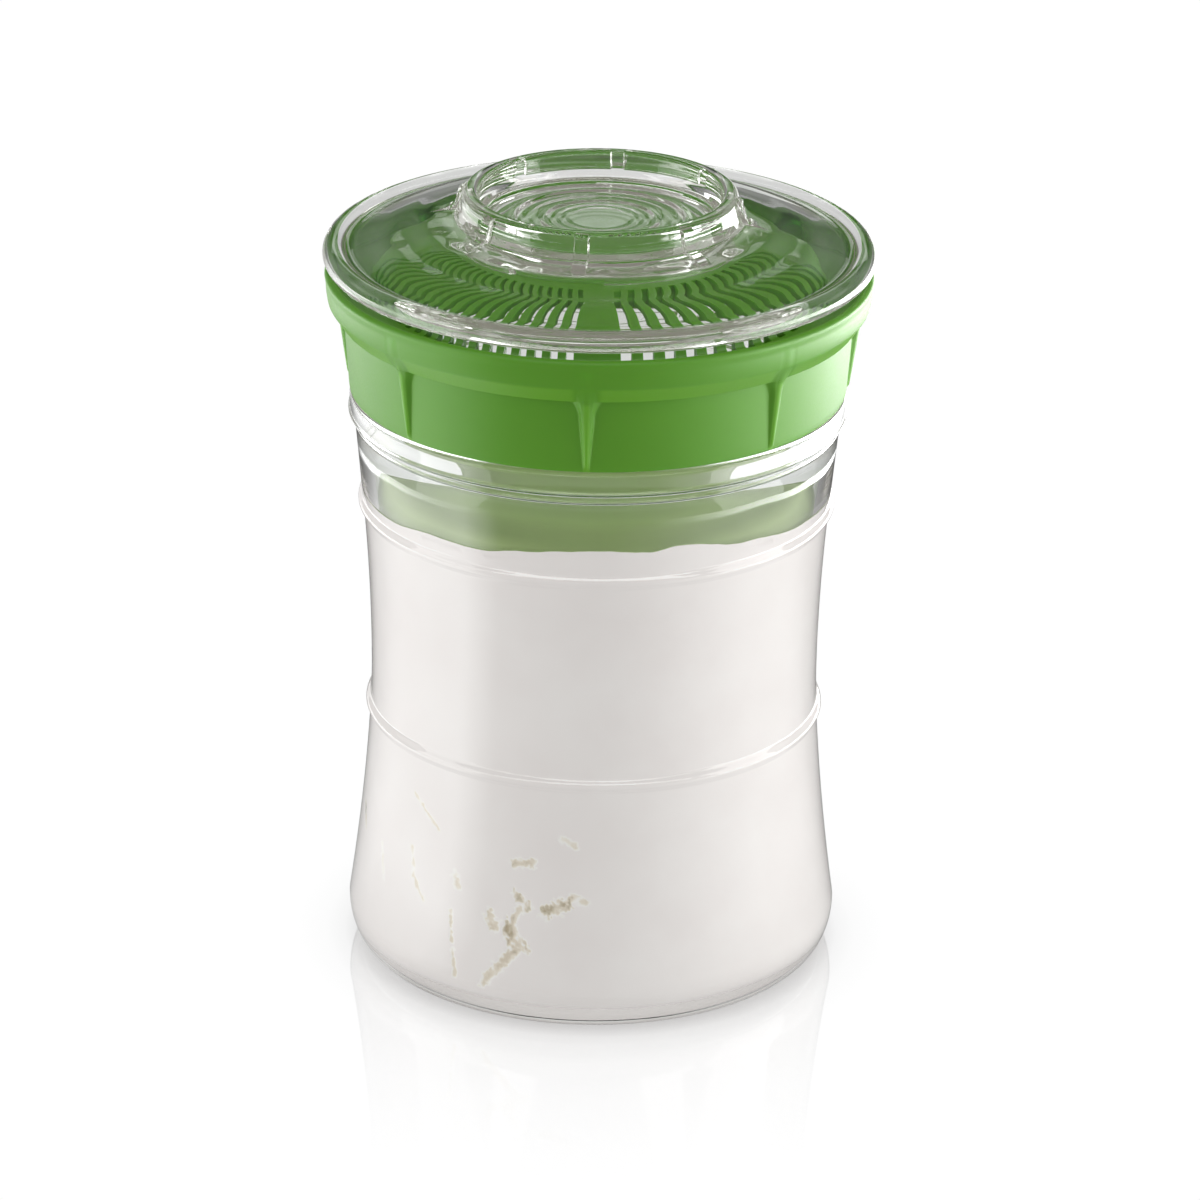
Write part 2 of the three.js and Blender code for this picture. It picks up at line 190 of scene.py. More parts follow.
SLOT_SILL = DECK_TOP - 1.0
SLOT_HEAD = HUB_TOP + 3.0
BAR_ANGLE = -0.3
FINE_SLOTS = [BAR_ANGLE - 6.75 - 4.0 * i for i in range(20)]
COARSE_SLOTS = [BAR_ANGLE + 7.3 + 5.6 * i for i in range(15)]
FINE_WIDTH = 1.9
COARSE_WIDTH = 2.8

# Clear cover
COVER_TURN = -7.2
EDGE_TUBE = 2.4
EDGE_RADIUS = cover_high[0] - EDGE_TUBE - 0.01
EDGE_HEIGHT = RIM_TOP + 1.35 + EDGE_TUBE
RING_TOP = cover_high[2]
PLATE_TOP = RING_TOP - 5.6
PLATE = 2.8
PLATE_CURVE = 1.35
PLATE_FILLET = 1.0
GROOVE_RADIUS = EDGE_RADIUS - 3.2
GROOVE_HEIGHT = EDGE_HEIGHT + 1.35
PLATE_EDGE = GROOVE_HEIGHT + 0.15
PLATE_EDGE_RADIUS = GROOVE_RADIUS - 0.6
RING_RADIUS = 30.4
RING_TOP_RADIUS = RING_RADIUS - 1.1
RING_WALL = 3.5
RING_ROUND = 1.3
RING_FILLET = 0.8
CUP_FLOOR = PLATE_TOP - 0.8
CUP_RADIUS = RING_TOP_RADIUS - RING_WALL - 1.0
CUP_DRAFT = 3.6  # height over which the cup narrows
CUP_FILLET = 1.5
CUP_RINGS = ((18.5, 2.4, 0.4), (15.4, 1.2, 0.12), (12.0, 2.2, 0.3), (9.6, 1.2, 0.12), (7.4, 1.2, 0.12))
COLLAR_OUTER = HUB_RADIUS - 0.8
COLLAR_INNER = COLLAR_OUTER - 2.4
COLLAR_BOTTOM = HUB_TOP + 0.3
COLLAR_FILLET = 0.8
COLLAR_ROUND = 0.4
NOTCHES = (2.0, 182.0)  # where the collar's two breathing notches start
NOTCH_SPAN = 44.0
NOTCH_HEIGHT = 2.9
COVER_RIBS = 8
COVER_RIB_CROWN = 1.25
COVER_RIB_FLANK = 0.4
COVER_RIB_RISE = 0.95
RIB_FOOT_REACH = 5.4  # how far a rib's foot runs out on the plate
RIB_FOOT_RISE = 1.5
RIPPLE = 0.16  # waves under the plate
RIPPLE_LENGTH = 8.5
RIPPLE_STRAY = 0.14

# Contents
FILL_HEIGHT = milk_high[2]
MILK_PRESS = 0.2  # the milk lies against the glass, so its skin reaches this far into it
FINE_ANGLES = (-88, 4)  # the part of the milk's skin that is drawn finely enough for the curd's marks
FINE_HEIGHTS = (6, 50)
FINE_RADIUS = 36.0
MARK_DEPTH = 0.35
GRAINS = [f"kefir_grain_{i}" for i in range(1, 10)]


# Drawing


CROWN_SHARE = 0.2  # share of the columns between two ribs that is drawn together on a rib's crown
FLANK_SHARE = 0.5  # and on its crown and flanks
COLUMN_SPREAD = 1.3


def set_mode(mode):
    bpy.ops.object.mode_set(mode=mode)


def select_mesh(action):
    bpy.ops.mesh.select_all(action=action)


def deselect():
    bpy.ops.object.select_all(action="DESELECT")


def make_active(piece):
    deselect()
    piece.select_set(True)
    bpy.context.view_layer.objects.active = piece


def spot_at(radius, angle, height):
    """A point in Blender's metres, from its radius, angle and height."""
    turn = radians(angle)
    return Vector((radius * sin(turn), -radius * cos(turn), height)) * MM


def clamp(value, most=1.0):
    return min(max(value, 0.0), most)


def smooth(share):
    share = clamp(share)
    return share * share * (3 - 2 * share)


def swell(off):
    """A rounded rise: 1 in the middle, 0 from 1 off it."""
    return 0.5 + 0.5 * cos(pi * min(off, 1.0))


def soft_max(a, b, fillet):
    """The larger of two values, with a fillet where they meet."""
    mix = clamp(0.5 + 0.5 * (a - b) / fillet)
    return b + (a - b) * mix + fillet * mix * (1 - mix) / 2


def arc(radius, height, across, up, start, end, steps):
    """Points of an ellipse in a section, from angle start to end."""
    turns = [radians(start + (end - start) * i / steps) for i in range(steps + 1)]
    return [(radius + across * cos(a), height + up * sin(a)) for a in turns]


def rounded(radius, height, size, start, end, steps):
    """Points of a circle in a section, from angle start to end."""
    return arc(radius, height, size, size, start, end, steps)


def straight(start, end, count):
    """Points on a straight line in a section, in so many steps, without its two ends."""
    (radius, height), (end_radius, end_height) = start, end
    return [
        (radius + (end_radius - radius) * i / count, height + (end_height - height) * i / count)
        for i in range(1, count)
    ]


def steps_between(start, end, step):
    count = max(1, round(abs(end - start) / step))
    return [start + (end - start) * i / count for i in range(count + 1)]


def close_mesh(cap):
    """Join the doubled corners of the mesh being edited, cap its open ends and point its faces outwards."""
    select_mesh("SELECT")
    bpy.ops.mesh.remove_doubles(threshold=SEAM)
    if cap:
        bpy.ops.mesh.fill_holes(sides=4)
    select_mesh("SELECT")
    bpy.ops.mesh.normals_make_consistent(inside=False)
    set_mode("OBJECT")


def turned(name, section, columns):
    """A section drawn corner by corner and spun about Z."""
    deselect()
    bpy.ops.mesh.primitive_plane_add(size=MM, location=(0, 0, 0))
    piece = bpy.context.object
    piece.name = name
    piece.data.name = name
    set_mode("EDIT")
    bpy.ops.mesh.merge(type="CENTER")
    radius, height = section[0]
    bpy.ops.transform.translate(value=(radius * MM, 0, height * MM))
    for next_radius, next_height in section[1:]:
        step = ((next_radius - radius) * MM, 0, (next_height - height) * MM)
        bpy.ops.mesh.extrude_vertices_move(TRANSFORM_OT_translate={"value": step})
        radius, height = next_radius, next_height
    select_mesh("SELECT")
    bpy.ops.mesh.spin(steps=columns, angle=tau, center=(0, 0, 0), axis=(0, 0, 1))
    close_mesh(cap=False)
    return piece


def reshape(piece, move):
    """Move each corner by a function of its radius, angle and height."""
    for corner in piece.data.vertices:
        x, y, z = (c / MM for c in corner.co)
        corner.co = spot_at(*move(hypot(x, y), degrees(atan2(x, -y)), z))
    piece.data.update()


def rib_column(angle, first, count, radius, crown, flank):
    """Shift a column of a spun mesh so that columns follow the crown and flanks of the nearest of evenly
    spaced ribs. Gives its new angle and its distance from the rib's middle."""
    half_pitch = 180 / count
    off = (angle - first + half_pitch) % (2 * half_pitch) - half_pitch
    share = abs(off) / half_pitch
    narrow = min(1.0, radius / RING_TOP_RADIUS)
    crown, flank = crown * narrow, flank * narrow
    reach = radians(half_pitch) * radius
    if share < CROWN_SHARE:
        across = crown * share / CROWN_SHARE
    elif share < FLANK_SHARE:
        across = crown + flank * (share - CROWN_SHARE) / (FLANK_SHARE - CROWN_SHARE)
    else:
        outward = ((share - FLANK_SHARE) / (1 - FLANK_SHARE)) ** COLUMN_SPREAD
        across = crown + flank + (reach - crown - flank) * outward
    return angle - off + copysign(degrees(across / radius), off), across


def apply_modifier(piece, kind, **values):
    make_active(piece)
    modifier = piece.modifiers.new(kind.lower(), kind)
    for name, value in values.items():
        setattr(modifier, name, value)
    bpy.ops.object.modifier_apply(modifier=modifier.name)


def combine(piece, tool, operation):
    """Cut a tool out of a piece or weld it on, and throw the tool away."""
    apply_modifier(piece, "BOOLEAN", object=tool, operation=operation, solver="MANIFOLD")
    bpy.data.objects.remove(tool)


def finish_surface(piece, material, sharp):
    piece.data.materials.clear()
    piece.data.materials.append(material)
    make_active(piece)
    bpy.ops.object.shade_smooth_by_angle(angle=radians(sharp))


def thread_ridge(name, turns, start_angle, start_height, root, crest):
    """A thread's ridge: its section swept along the helix, tapered at both ends and capped."""
    deselect()
    bpy.ops.mesh.primitive_plane_add(size=MM, location=(0, 0, 0))
    ridge = bpy.context.object
    ridge.name = name
    rooted = root + copysign(THREAD_SINK, root - crest)
    for corner in ridge.data.vertices:
        radius, width = (crest, THREAD_TIP) if corner.co.x > 0 else (rooted, THREAD_ROOT)
        corner.co = spot_at(radius, start_angle, start_height + copysign(width / 2, corner.co.y))
    make_active(ridge)
    set_mode("EDIT")
    select_mesh("SELECT")
    bpy.ops.mesh.delete(type="ONLY_FACE")
    set_mode("OBJECT")
    sweep = round(turns * THREAD_COLUMNS)
    apply_modifier(
        ridge, "SCREW", angle=turns * tau, screw_offset=turns * PITCH * MM, steps=sweep,
        render_steps=sweep, use_smooth_shade=False, use_normal_calculate=True,
    )
    set_mode("EDIT")
    close_mesh(cap=True)

    def taper(radius, angle, z):
        wound = (angle - start_angle) % 360
        rounds = round(((z - start_height) / PITCH) - wound / 360)
        along = clamp((wound / 360 + rounds) / turns)
        fade = min(1.0, along / THREAD_FADE, (1 - along) / THREAD_FADE)
        if abs(radius - crest) < THREAD_SINK / 2:
            radius = root + (crest - root) * smooth(fade)
        return radius, angle, z

    reshape(ridge, taper)
    return ridge


# Materials


LONGEST_PATH = 9  # bounces inside clear glass or plastic before light leaves it


def new_material(name):
    material = bpy.data.materials.new(name)
    material.use_nodes = True
    tree = material.node_tree
    return material, tree, tree.nodes["Principled BSDF"]


def link(source, target):
    source.id_data.links.new(source, target)


def settings(node, **values):
    """Set a node's sockets, named with underscores for spaces."""
    for name, value in values.items():
        node.inputs[name.replace("_", " ")].default_value = value


def object_place(tree):
    """The piece's own coordinates."""
    return tree.nodes.new("ShaderNodeTexCoord").outputs["Object"]


def axes_of(place):
    axes = place.id_data.nodes.new("ShaderNodeSeparateXYZ")
    link(place, axes.inputs["Vector"])
    return axes.outputs["X"], axes.outputs["Y"], axes.outputs["Z"]


def object_noise(tree, scale, detail, roughness=0.5):
    """Noise in the piece's own metres: scale is in bumps per metre."""
    grain = tree.nodes.new("ShaderNodeTexNoise")
    settings(grain, Scale=scale, Detail=detail, Roughness=roughness)
    link(object_place(tree), grain.inputs["Vector"])
    return grain.outputs["Fac"]


def attribute(tree, name):
    values = tree.nodes.new("ShaderNodeAttribute")
    values.attribute_name = name
    return values.outputs["Fac"]


def ramp(source, stops):
    """Colours or greys by the value of a socket."""
    colours = source.id_data.nodes.new("ShaderNodeValToRGB")
    link(source, colours.inputs["Fac"])
    elements = colours.color_ramp.elements
    while len(elements) < len(stops):
        elements.new(0.5)
    for element, (place, colour) in zip(elements, stops):
        element.position = place
        element.color = (*colour, 1) if isinstance(colour, tuple) else (colour, colour, colour, 1)
    return colours.outputs["Color"]


def maths(operation, first, second):
    """A maths node of a socket and a socket or a number."""
    result = first.id_data.nodes.new("ShaderNodeMath")
    result.operation = operation
    link(first, result.inputs[0])
    if isinstance(second, (int, float)):
        result.inputs[1].default_value = second
    else:
        link(second, result.inputs[1])
    return result.outputs["Value"]


def angle_from_front(right, back):
    """The angle about the jar's axis in radians, 0 at the front."""
    return maths("ARCTAN2", right, maths("MULTIPLY", back, -1))


def mixed(factor, first, second):
    """A colour between two, each a socket or a plain colour."""
    mix = factor.id_data.nodes.new("ShaderNodeMix")
    mix.data_type = "RGBA"
    link(factor, mix.inputs["Factor"])
    for socket, colour in (("A", first), ("B", second)):
        if isinstance(colour, tuple):
            mix.inputs[socket].default_value = (*colour, 1)
        else:
            link(colour, mix.inputs[socket])
    return mix.outputs["Result"]


def layered(surface, layers):
    """Lay shaders over a surface, each over the share of the light that its socket gives."""
    nodes = surface.id_data.nodes
    for share, shade in layers:
        mix = nodes.new("ShaderNodeMixShader")
        for source, socket in zip((share, surface, shade), mix.inputs):
            link(source, socket)
        surface = mix.outputs["Shader"]
    link(surface, nodes["Material Output"].inputs["Surface"])


def bump(height, strength, distance, shader):
    relief = height.id_data.nodes.new("ShaderNodeBump")
    settings(relief, Strength=strength, Distance=distance)
    link(height, relief.inputs["Height"])
    link(relief.outputs["Normal"], shader.inputs["Normal"])


def clear_material(name, tint, ior, roughness, ripple, ripple_scale):
    """Clear glass or plastic. Light from lamps and from matt surfaces passes straight through it, and so
    does light that has been caught inside for long."""
    material, tree, shader = new_material(name)
    settings(shader, Base_Color=(*tint, 1), Roughness=roughness, IOR=ior, Transmission_Weight=1)
    bump(object_noise(tree, ripple_scale, 2), ripple, 0.3 * MM, shader)
    through = tree.nodes.new("ShaderNodeBsdfTransparent")
    through.inputs["Color"].default_value = (*tint, 1)
    path = tree.nodes.new("ShaderNodeLightPath").outputs
    caught = maths("GREATER_THAN", path["Ray Depth"], LONGEST_PATH)
    passing = (caught, path["Is Diffuse Ray"], path["Is Shadow Ray"])
    layered(shader.outputs["BSDF"], [(share, through.outputs["BSDF"]) for share in passing])
    return material


def green_plastic():
    """Satin moulded plastic with a fine grain, with painted light: the sloped strip and the crowns of the
    ribs are painted a lighter green, standing in for light from the table below.
    """
    material, tree, shader = new_material("green_plastic")
    cloud = object_noise(tree, 45, 3)
    colour = ramp(cloud, [(0.3, (0.085, 0.278, 0.007)), (0.7, (0.094, 0.298, 0.01))])
    right, back, up = axes_of(object_place(tree))
    strip_range = tree.nodes.new("ShaderNodeMapRange")
    settings(strip_range, From_Min=(FLARE_BOTTOM - 1) * MM, From_Max=(STRIP_TOP + 1) * MM)
    link(up, strip_range.inputs["Value"])
    height = strip_range.outputs["Result"]
    around = angle_from_front(right, back)
    past_rib = maths("SUBTRACT", around, radians(LID_TURN - 360))
    to_nearest = maths("PINGPONG", past_rib, pi / LID_RIBS)
    in_strip = ramp(height, [(0.16, 0), (0.2, 1), (0.76, 1), (0.86, 0)])
    between_ribs = ramp(to_nearest, [(0.04, 0), (0.06, 1)])
    strip = maths("MULTIPLY", in_strip, between_ribs)
    below_strip = ramp(height, [(0, 1), (0.16, 0)])
    on_crown = ramp(to_nearest, [(0.008, 1), (0.016, 0)])
    crowns = maths("MULTIPLY", on_crown, below_strip)
    # Painted light: a lighter green on the sloped strip and the rib crowns, for light from the table that
    # falls on them.
    painted_light_mask = maths("MAXIMUM", strip, crowns)
    link(mixed(painted_light_mask, colour, (0.12, 0.345, 0.014)), shader.inputs["Base Color"])
    grain = object_noise(tree, 2600, 4, 0.6)
    link(ramp(grain, [(0.3, 0.38), (0.7, 0.48)]), shader.inputs["Roughness"])
    bump(grain, 0.12, 0.05 * MM, shader)
    settings(
        shader, Specular_IOR_Level=0.4, Subsurface_Weight=0.35, Subsurface_Radius=(0.4, 1.0, 0.15),
        Subsurface_Scale=2.2 * MM,
    )
    return material


def milky_silicone():
    material, tree, shader = new_material("silicone")
    cloud = object_noise(tree, 120, 3)
    colour = ramp(cloud, [(0.3, (0.74, 0.76, 0.72)), (0.7, (0.82, 0.84, 0.8))])
    link(colour, shader.inputs["Base Color"])
    settings(shader, Roughness=0.55, Subsurface_Weight=0.3, Subsurface_Scale=1.5 * MM)
    bump(object_noise(tree, 1800, 3), 0.1, 0.05 * MM, shader)
    return material


def cultured_milk():
    """Off-white curd. Whey is 1 where the curd has drawn away from the glass. A second attribute, set on the
    top where it lies under the lid, paints the lid's shade and green light from the lid as an olive tint,
    with a faint painted glow."""
    material, tree, shader = new_material("milk")
    cloud = object_noise(tree, 55, 5, 0.6)
    cloud_stops = [(0.3, (0.845, 0.785, 0.777)), (0.55, (0.87, 0.815, 0.807)), (0.75, (0.885, 0.835, 0.827))]
    # Colours of the marks: pale at a mark's edge, then beige whey, then dark brown in the deepest part,
    # which is painted shade in the pocket.
    whey_and_shade_stops = [(0.12, (0.93, 0.9, 0.88)), (0.34, (0.8, 0.72, 0.62)), (0.95, (0.52, 0.41, 0.29))]
    # Painted shade and green light from the lid on the top, darker towards the glass.
    lid_shade_stops = [(0.5, (0.74, 0.88, 0.44)), (1, (0.38, 0.47, 0.21))]
    painted_glow_stops = [(0.3, (0, 0, 0)), (0.5, (0.05, 0.066, 0.018)), (1, (0.04, 0.053, 0.016))]
    whey = attribute(tree, "whey")
    lid_shade = attribute(tree, "lid_shade")
    colour = ramp(cloud, cloud_stops)
    for layer, stops, cover in (
        (whey, whey_and_shade_stops, [(0.02, 0), (0.14, 1)]),
        (lid_shade, lid_shade_stops, [(0.2, 0), (0.4, 1)]),
    ):
        share = ramp(layer, cover)
        colour = mixed(share, colour, ramp(layer, stops))
    link(colour, shader.inputs["Base Color"])
    # Painted glow: the top under the lid gives off a faint green light, though it is no lamp.
    link(ramp(lid_shade, painted_glow_stops), shader.inputs["Emission Color"])
    settings(shader, Emission_Strength=1, Roughness=0.5)
    bump(object_noise(tree, 420, 5, 0.65), 0.12, 0.1 * MM, shader)
    return material


def kefir_curd():
    """Cream-coloured grains, brown in their creases where the bumps dip: the brown is painted shade."""
    material, tree, shader = new_material("kefir_grain")
    lump = object_noise(tree, 700, 5, 0.65)
    # Painted shade: dark brown where the lumps dip, tan and cream on the rest.
    stops = [(0.35, (0.42, 0.34, 0.2)), (0.5, (0.68, 0.6, 0.46)), (0.68, (0.8, 0.76, 0.68))]
    link(ramp(lump, stops), shader.inputs["Base Color"])
    settings(shader, Roughness=0.4, Subsurface_Weight=0.2, Subsurface_Scale=1.0 * MM)
    bump(lump, 0.3, 0.3 * MM, shader)
    return material


# Glass jar


def body_radius(height):
    if height <= WAIST_HEIGHT:
        share = (WAIST_HEIGHT - height) / (WAIST_HEIGHT - HEEL_HEIGHT)
        return WAIST_RADIUS + (BELLY_RADIUS - WAIST_RADIUS) * share**LOWER_CURVE
    if height <= UPPER_BEAD:
        share = (height - WAIST_HEIGHT) / (UPPER_BEAD - WAIST_HEIGHT)
        return WAIST_RADIUS + (UPPER_BEAD_RADIUS - WAIST_RADIUS) * share**UPPER_CURVE
    share = (height - UPPER_BEAD) / (SHOULDER_HEIGHT - UPPER_BEAD)
    return UPPER_BEAD_RADIUS + (SHOULDER_RADIUS - UPPER_BEAD_RADIUS) * share


def bead_rise(height):
    off = min(abs(height - LOWER_BEAD), abs(height - UPPER_BEAD)) / (BEAD_WIDTH / 2)
    return BEAD_RISE * swell(off) ** BEAD_FULLNESS


def shoulder_line(height):
    """The two fine ridges round the shoulder."""
    return max(rise * swell(abs(height - middle) / half) for middle, rise, half in SHOULDER_LINES)


def outer_wall():
    """The body from the heel to the shoulder, close-set over the beads."""
    edge = BEAD_WIDTH / 2 + BEAD_MARGIN
    start = HEEL_HEIGHT
    heights = []
    for end, step in (
        (LOWER_BEAD - edge, 1.6), (LOWER_BEAD + edge, 0.25),
        (UPPER_BEAD - edge, 1.8), (UPPER_BEAD + edge, 0.25), (LINES_FROM, 1.4),
    ):
        heights += steps_between(start, end, step)[1:]
        start = end
    return [(body_radius(z) + bead_rise(z), z) for z in heights]


def cavity(press, top, step):
    """The inside of the jar from the middle of its floor up the wall, or the skin of what fills it."""
    heel_top = FLOOR_HEIGHT + INNER_HEEL
    heel_middle = body_radius(heel_top) - GLASS_WALL - INNER_HEEL
    floor = [(heel_middle * i / 14, FLOOR_HEIGHT - press) for i in range(14)]
    heel = rounded(heel_middle, heel_top, INNER_HEEL + press, -90, 0, 12)
    wall = [(body_radius(z) - GLASS_WALL + press, z) for z in steps_between(heel_top, top, step)[1:]]
    return floor + heel + wall


def make_jar(glass):
    foot_in = FOOT_RADIUS - FOOT_RING
    flat = foot_in * PUNT_FLAT
    punt = [(flat * i / 10, PUNT_DEPTH) for i in range(11)]
    punt += [(flat + (foot_in - flat) * i / 6, PUNT_DEPTH * (1 - smooth(i / 6))) for i in range(1, 7)]
    foot = [(foot_in + FOOT_RING / 2, 0.0)]
    heel = arc(FOOT_RADIUS, HEEL_HEIGHT, BELLY_RADIUS - FOOT_RADIUS, HEEL_HEIGHT, -90, 0, 18)
    band = []
    for z in steps_between(LINES_FROM, LINES_TO, LINES_STEP)[1:]:
        step = (BAND_RADIUS - SHOULDER_RADIUS) * smooth((z - BAND_FOOT) / BAND_STEP)
        band.append((body_radius(min(z, SHOULDER_HEIGHT)) + step + shoulder_line(z), z))
    ledge = rounded(BAND_RADIUS - LEDGE_ROUND, SHOULDER_TOP - LEDGE_ROUND, LEDGE_ROUND, 0, 90, 8)
    neck = rounded(NECK_RADIUS + NECK_FILLET, SHOULDER_TOP + NECK_FILLET, -NECK_FILLET, 90, 0, 5)
    lip_height = LIP_HEIGHT - LIP_ROUND
    neck += [(NECK_RADIUS, z) for z in steps_between(SHOULDER_TOP + NECK_FILLET, lip_height, 1.2)[1:-1]]
    lip = rounded(NECK_RADIUS - LIP_ROUND, lip_height, LIP_ROUND, 0, 90, 6)
    lip += rounded(MOUTH_RADIUS + LIP_ROUND, lip_height, LIP_ROUND, 90, 180, 6)
    mouth = [(MOUTH_RADIUS, z) for z in steps_between(lip_height, NECK_FOOT, 2.5)[1:]]
    inner_wall = cavity(0, DRAW_IN, 1.6)
    wide = inner_wall[-1][0]
    draw = [
        (MOUTH_RADIUS + (wide - MOUTH_RADIUS) * smooth(i / 14), NECK_FOOT + (DRAW_IN - NECK_FOOT) * i / 14)
        for i in range(1, 14)
    ]
    section = punt + foot + heel + outer_wall() + band + ledge + neck + lip + mouth + draw
    jar = turned("jar_glass", section + inner_wall[::-1], JAR_COLUMNS)

    def press_wobble(radius, angle, z):
        in_cavity = FLOOR_HEIGHT - 0.1 < z < DRAW_IN and radius < body_radius(z) - GLASS_WALL + 0.3
        if in_cavity and radius > NEAR_AXIS:
            turn = radians(angle)
            place = Vector((sin(turn), cos(turn), z / WOBBLE_LENGTH))
            radius += GLASS_WOBBLE * noise.noise(place * WOBBLE_RATE)
        return radius, angle, z

    reshape(jar, press_wobble)
    ridge = thread_ridge("jar_ridge", JAR_TURNS, 0, THREAD_START, NECK_RADIUS, NECK_RADIUS + THREAD_DEPTH)
    combine(jar, ridge, "UNION")
    finish_surface(jar, glass, CLEAR_SHARP)
    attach(jar, "jar")
    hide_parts("glass_jar")


# Seal


def make_seal(silicone):
    inner, outer = SEAL_INNER, seal_high[0]
    low, high = seal_low[2], seal_high[2]
    middle = (inner + outer) / 2
    section = rounded(inner + SEAL_ROUND, low + SEAL_ROUND, SEAL_ROUND, 180, 270, 5)
    section += rounded(outer - SEAL_ROUND, low + SEAL_ROUND, SEAL_ROUND, 270, 360, 5)
    section += rounded(outer - SEAL_ROUND, high - SEAL_ROUND, SEAL_ROUND, 0, 90, 5)
    section += [(middle + 2 * SEAL_GROOVE, high), (middle + SEAL_GROOVE, high - SEAL_GROOVE)]
    section += [(middle - SEAL_GROOVE, high - SEAL_GROOVE), (middle - 2 * SEAL_GROOVE, high)]
    section += rounded(inner + SEAL_ROUND, high - SEAL_ROUND, SEAL_ROUND, 90, 180, 5)
    seal = turned("seal_ring", section + section[:1], SEAL_COLUMNS)
    finish_surface(seal, silicone, CLEAR_SHARP)
    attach(seal, "seal")
    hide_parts("lid_seal")


# Strainer lid


def panel_radius(z):
    return SKIRT_OUTER + PANEL_LEAN * (z - SKIRT_BOTTOM) / (PANEL_TOP - SKIRT_BOTTOM)


def flare_radius(z):
    """The outside of the pouring rim: nearly upright, then a strip that slopes in to the panels."""
    band = FLARE_RADIUS - (FLARE_RADIUS - STRIP_RADIUS) * ((FLARE_TOP - z) / (FLARE_TOP - STRIP_TOP)) ** 2
    lip = panel_radius(FLARE_BOTTOM) + STRIP_LIP
    strip = lip + (STRIP_RADIUS - lip) * (z - FLARE_BOTTOM) / (STRIP_TOP - FLARE_BOTTOM)
    return min(band, strip)


def rib_width(z):
    """Half width of a rib's crown and width of its flank: slim at the foot, flared under the rim."""
    share = clamp((z - SKIRT_BOTTOM) / (PANEL_TOP - SKIRT_BOTTOM), 1.4)
    crown = CROWN_FOOT + CROWN_GAIN * min(share, 1.0) + CROWN_FLARE * smooth((share - 0.9) / 0.4)
    flank = FLANK_FOOT + FLANK_GAIN * smooth(share / 0.9) + FLANK_FLARE * smooth((share - 0.82) / 0.38)
    return crown, flank


def rib_rise(across, z):
    """How far a rib stands out from a panel."""
    share = clamp((z - RIB_START) / (RIB_TOP - SKIRT_BOTTOM))
    crown, flank = rib_width(z)
    rounding = RIB_CROWN * min(across / crown, 1.0) ** 2
    foot = smooth((z - SKIRT_BOTTOM - 0.2) / RIB_EASE)
    rise = (RIB_FOOT + RIB_SLOPE * share + RIB_HEAD * smooth((share - 0.7) / 0.3) - rounding) * foot
    return max(rise, 0.0) * (1 - smooth((across - crown) / flank))


def lid_section():
    dome_middle = DOME_RADIUS - DOME_ROUND
    inside = DOME_ROUND - DOME_WALL
    hub_under = HUB_TOP - DECK
    section = [(HUB_RADIUS * i / 6, hub_under) for i in range(7)]
    section += straight((HUB_RADIUS, hub_under), (dome_middle, DECK_TOP + DOME_EDGE - DOME_WALL), 4)
    section += arc(dome_middle, DECK_TOP, inside, DOME_EDGE - DOME_WALL, 90, 0, 8)
    section += [(dome_middle + inside, DECK_BOTTOM), (SKIRT_INNER - SKIRT_ROUND, DECK_BOTTOM)]
    under_deck = DECK_BOTTOM - SKIRT_ROUND
    section += rounded(SKIRT_INNER - SKIRT_ROUND, under_deck, SKIRT_ROUND, 90, 0, 3)[1:]
    foot = SKIRT_BOTTOM + SKIRT_INNER_ROUND
    section += [(SKIRT_INNER, z) for z in steps_between(under_deck, foot, 2.0)[1:]]
    section += rounded(SKIRT_INNER + SKIRT_INNER_ROUND, foot, SKIRT_INNER_ROUND, 180, 270, 4)[1:]
    foot = SKIRT_BOTTOM + SKIRT_ROUND
    section += rounded(SKIRT_OUTER - SKIRT_ROUND, foot, SKIRT_ROUND, 270, 360, 5)
    wall = steps_between(foot, PANEL_TOP - 4, 0.8)[1:]
    wall += steps_between(PANEL_TOP - 4, FLARE_BOTTOM, 0.35)[1:]
    section += [(panel_radius(z), z) for z in wall]
    section += [(flare_radius(z), z) for z in steps_between(FLARE_BOTTOM, FLARE_TOP, 0.35)]
    rim_foot = RIM_TOP - RIM_ROUND
    lean = (RIM_RADIUS - FLARE_RADIUS) / (rim_foot - FLARE_TOP)
    band = steps_between(FLARE_TOP, rim_foot, 0.5)[1:]
    section += [(FLARE_RADIUS + lean * (z - FLARE_TOP), z) for z in band]
    section += rounded(RIM_RADIUS - RIM_ROUND, rim_foot, RIM_ROUND, 0, 180, 12)[1:]
    gutter = RIM_RADIUS - RIM_WALL - GUTTER_ROUND
    section += [(gutter + GUTTER_LEAN, DECK_TOP + GUTTER_LIP)]
    section += rounded(gutter - GUTTER_ROUND, DECK_TOP + GUTTER_ROUND, GUTTER_ROUND, 0, -90, 5)
    section += rounded(DOME_RADIUS + GUTTER_ROUND, DECK_TOP + GUTTER_ROUND, GUTTER_ROUND, 270, 190, 4)
    section += arc(dome_middle, DECK_TOP, DOME_ROUND, DOME_EDGE, 12, 90, 9)
    section += straight((dome_middle, DECK_TOP + DOME_EDGE), (HUB_RADIUS, HUB_TOP), 6)
    section += [(HUB_RADIUS, HUB_TOP), (BOSS_RADIUS + BOSS_DRAFT, HUB_TOP)]
    section += rounded(BOSS_RADIUS - BOSS_ROUND, BOSS_TOP - BOSS_ROUND, BOSS_ROUND, 0, 90, 4)
    section += [(BOSS_RADIUS * i / 6, BOSS_TOP) for i in range(5, -1, -1)]
    return section


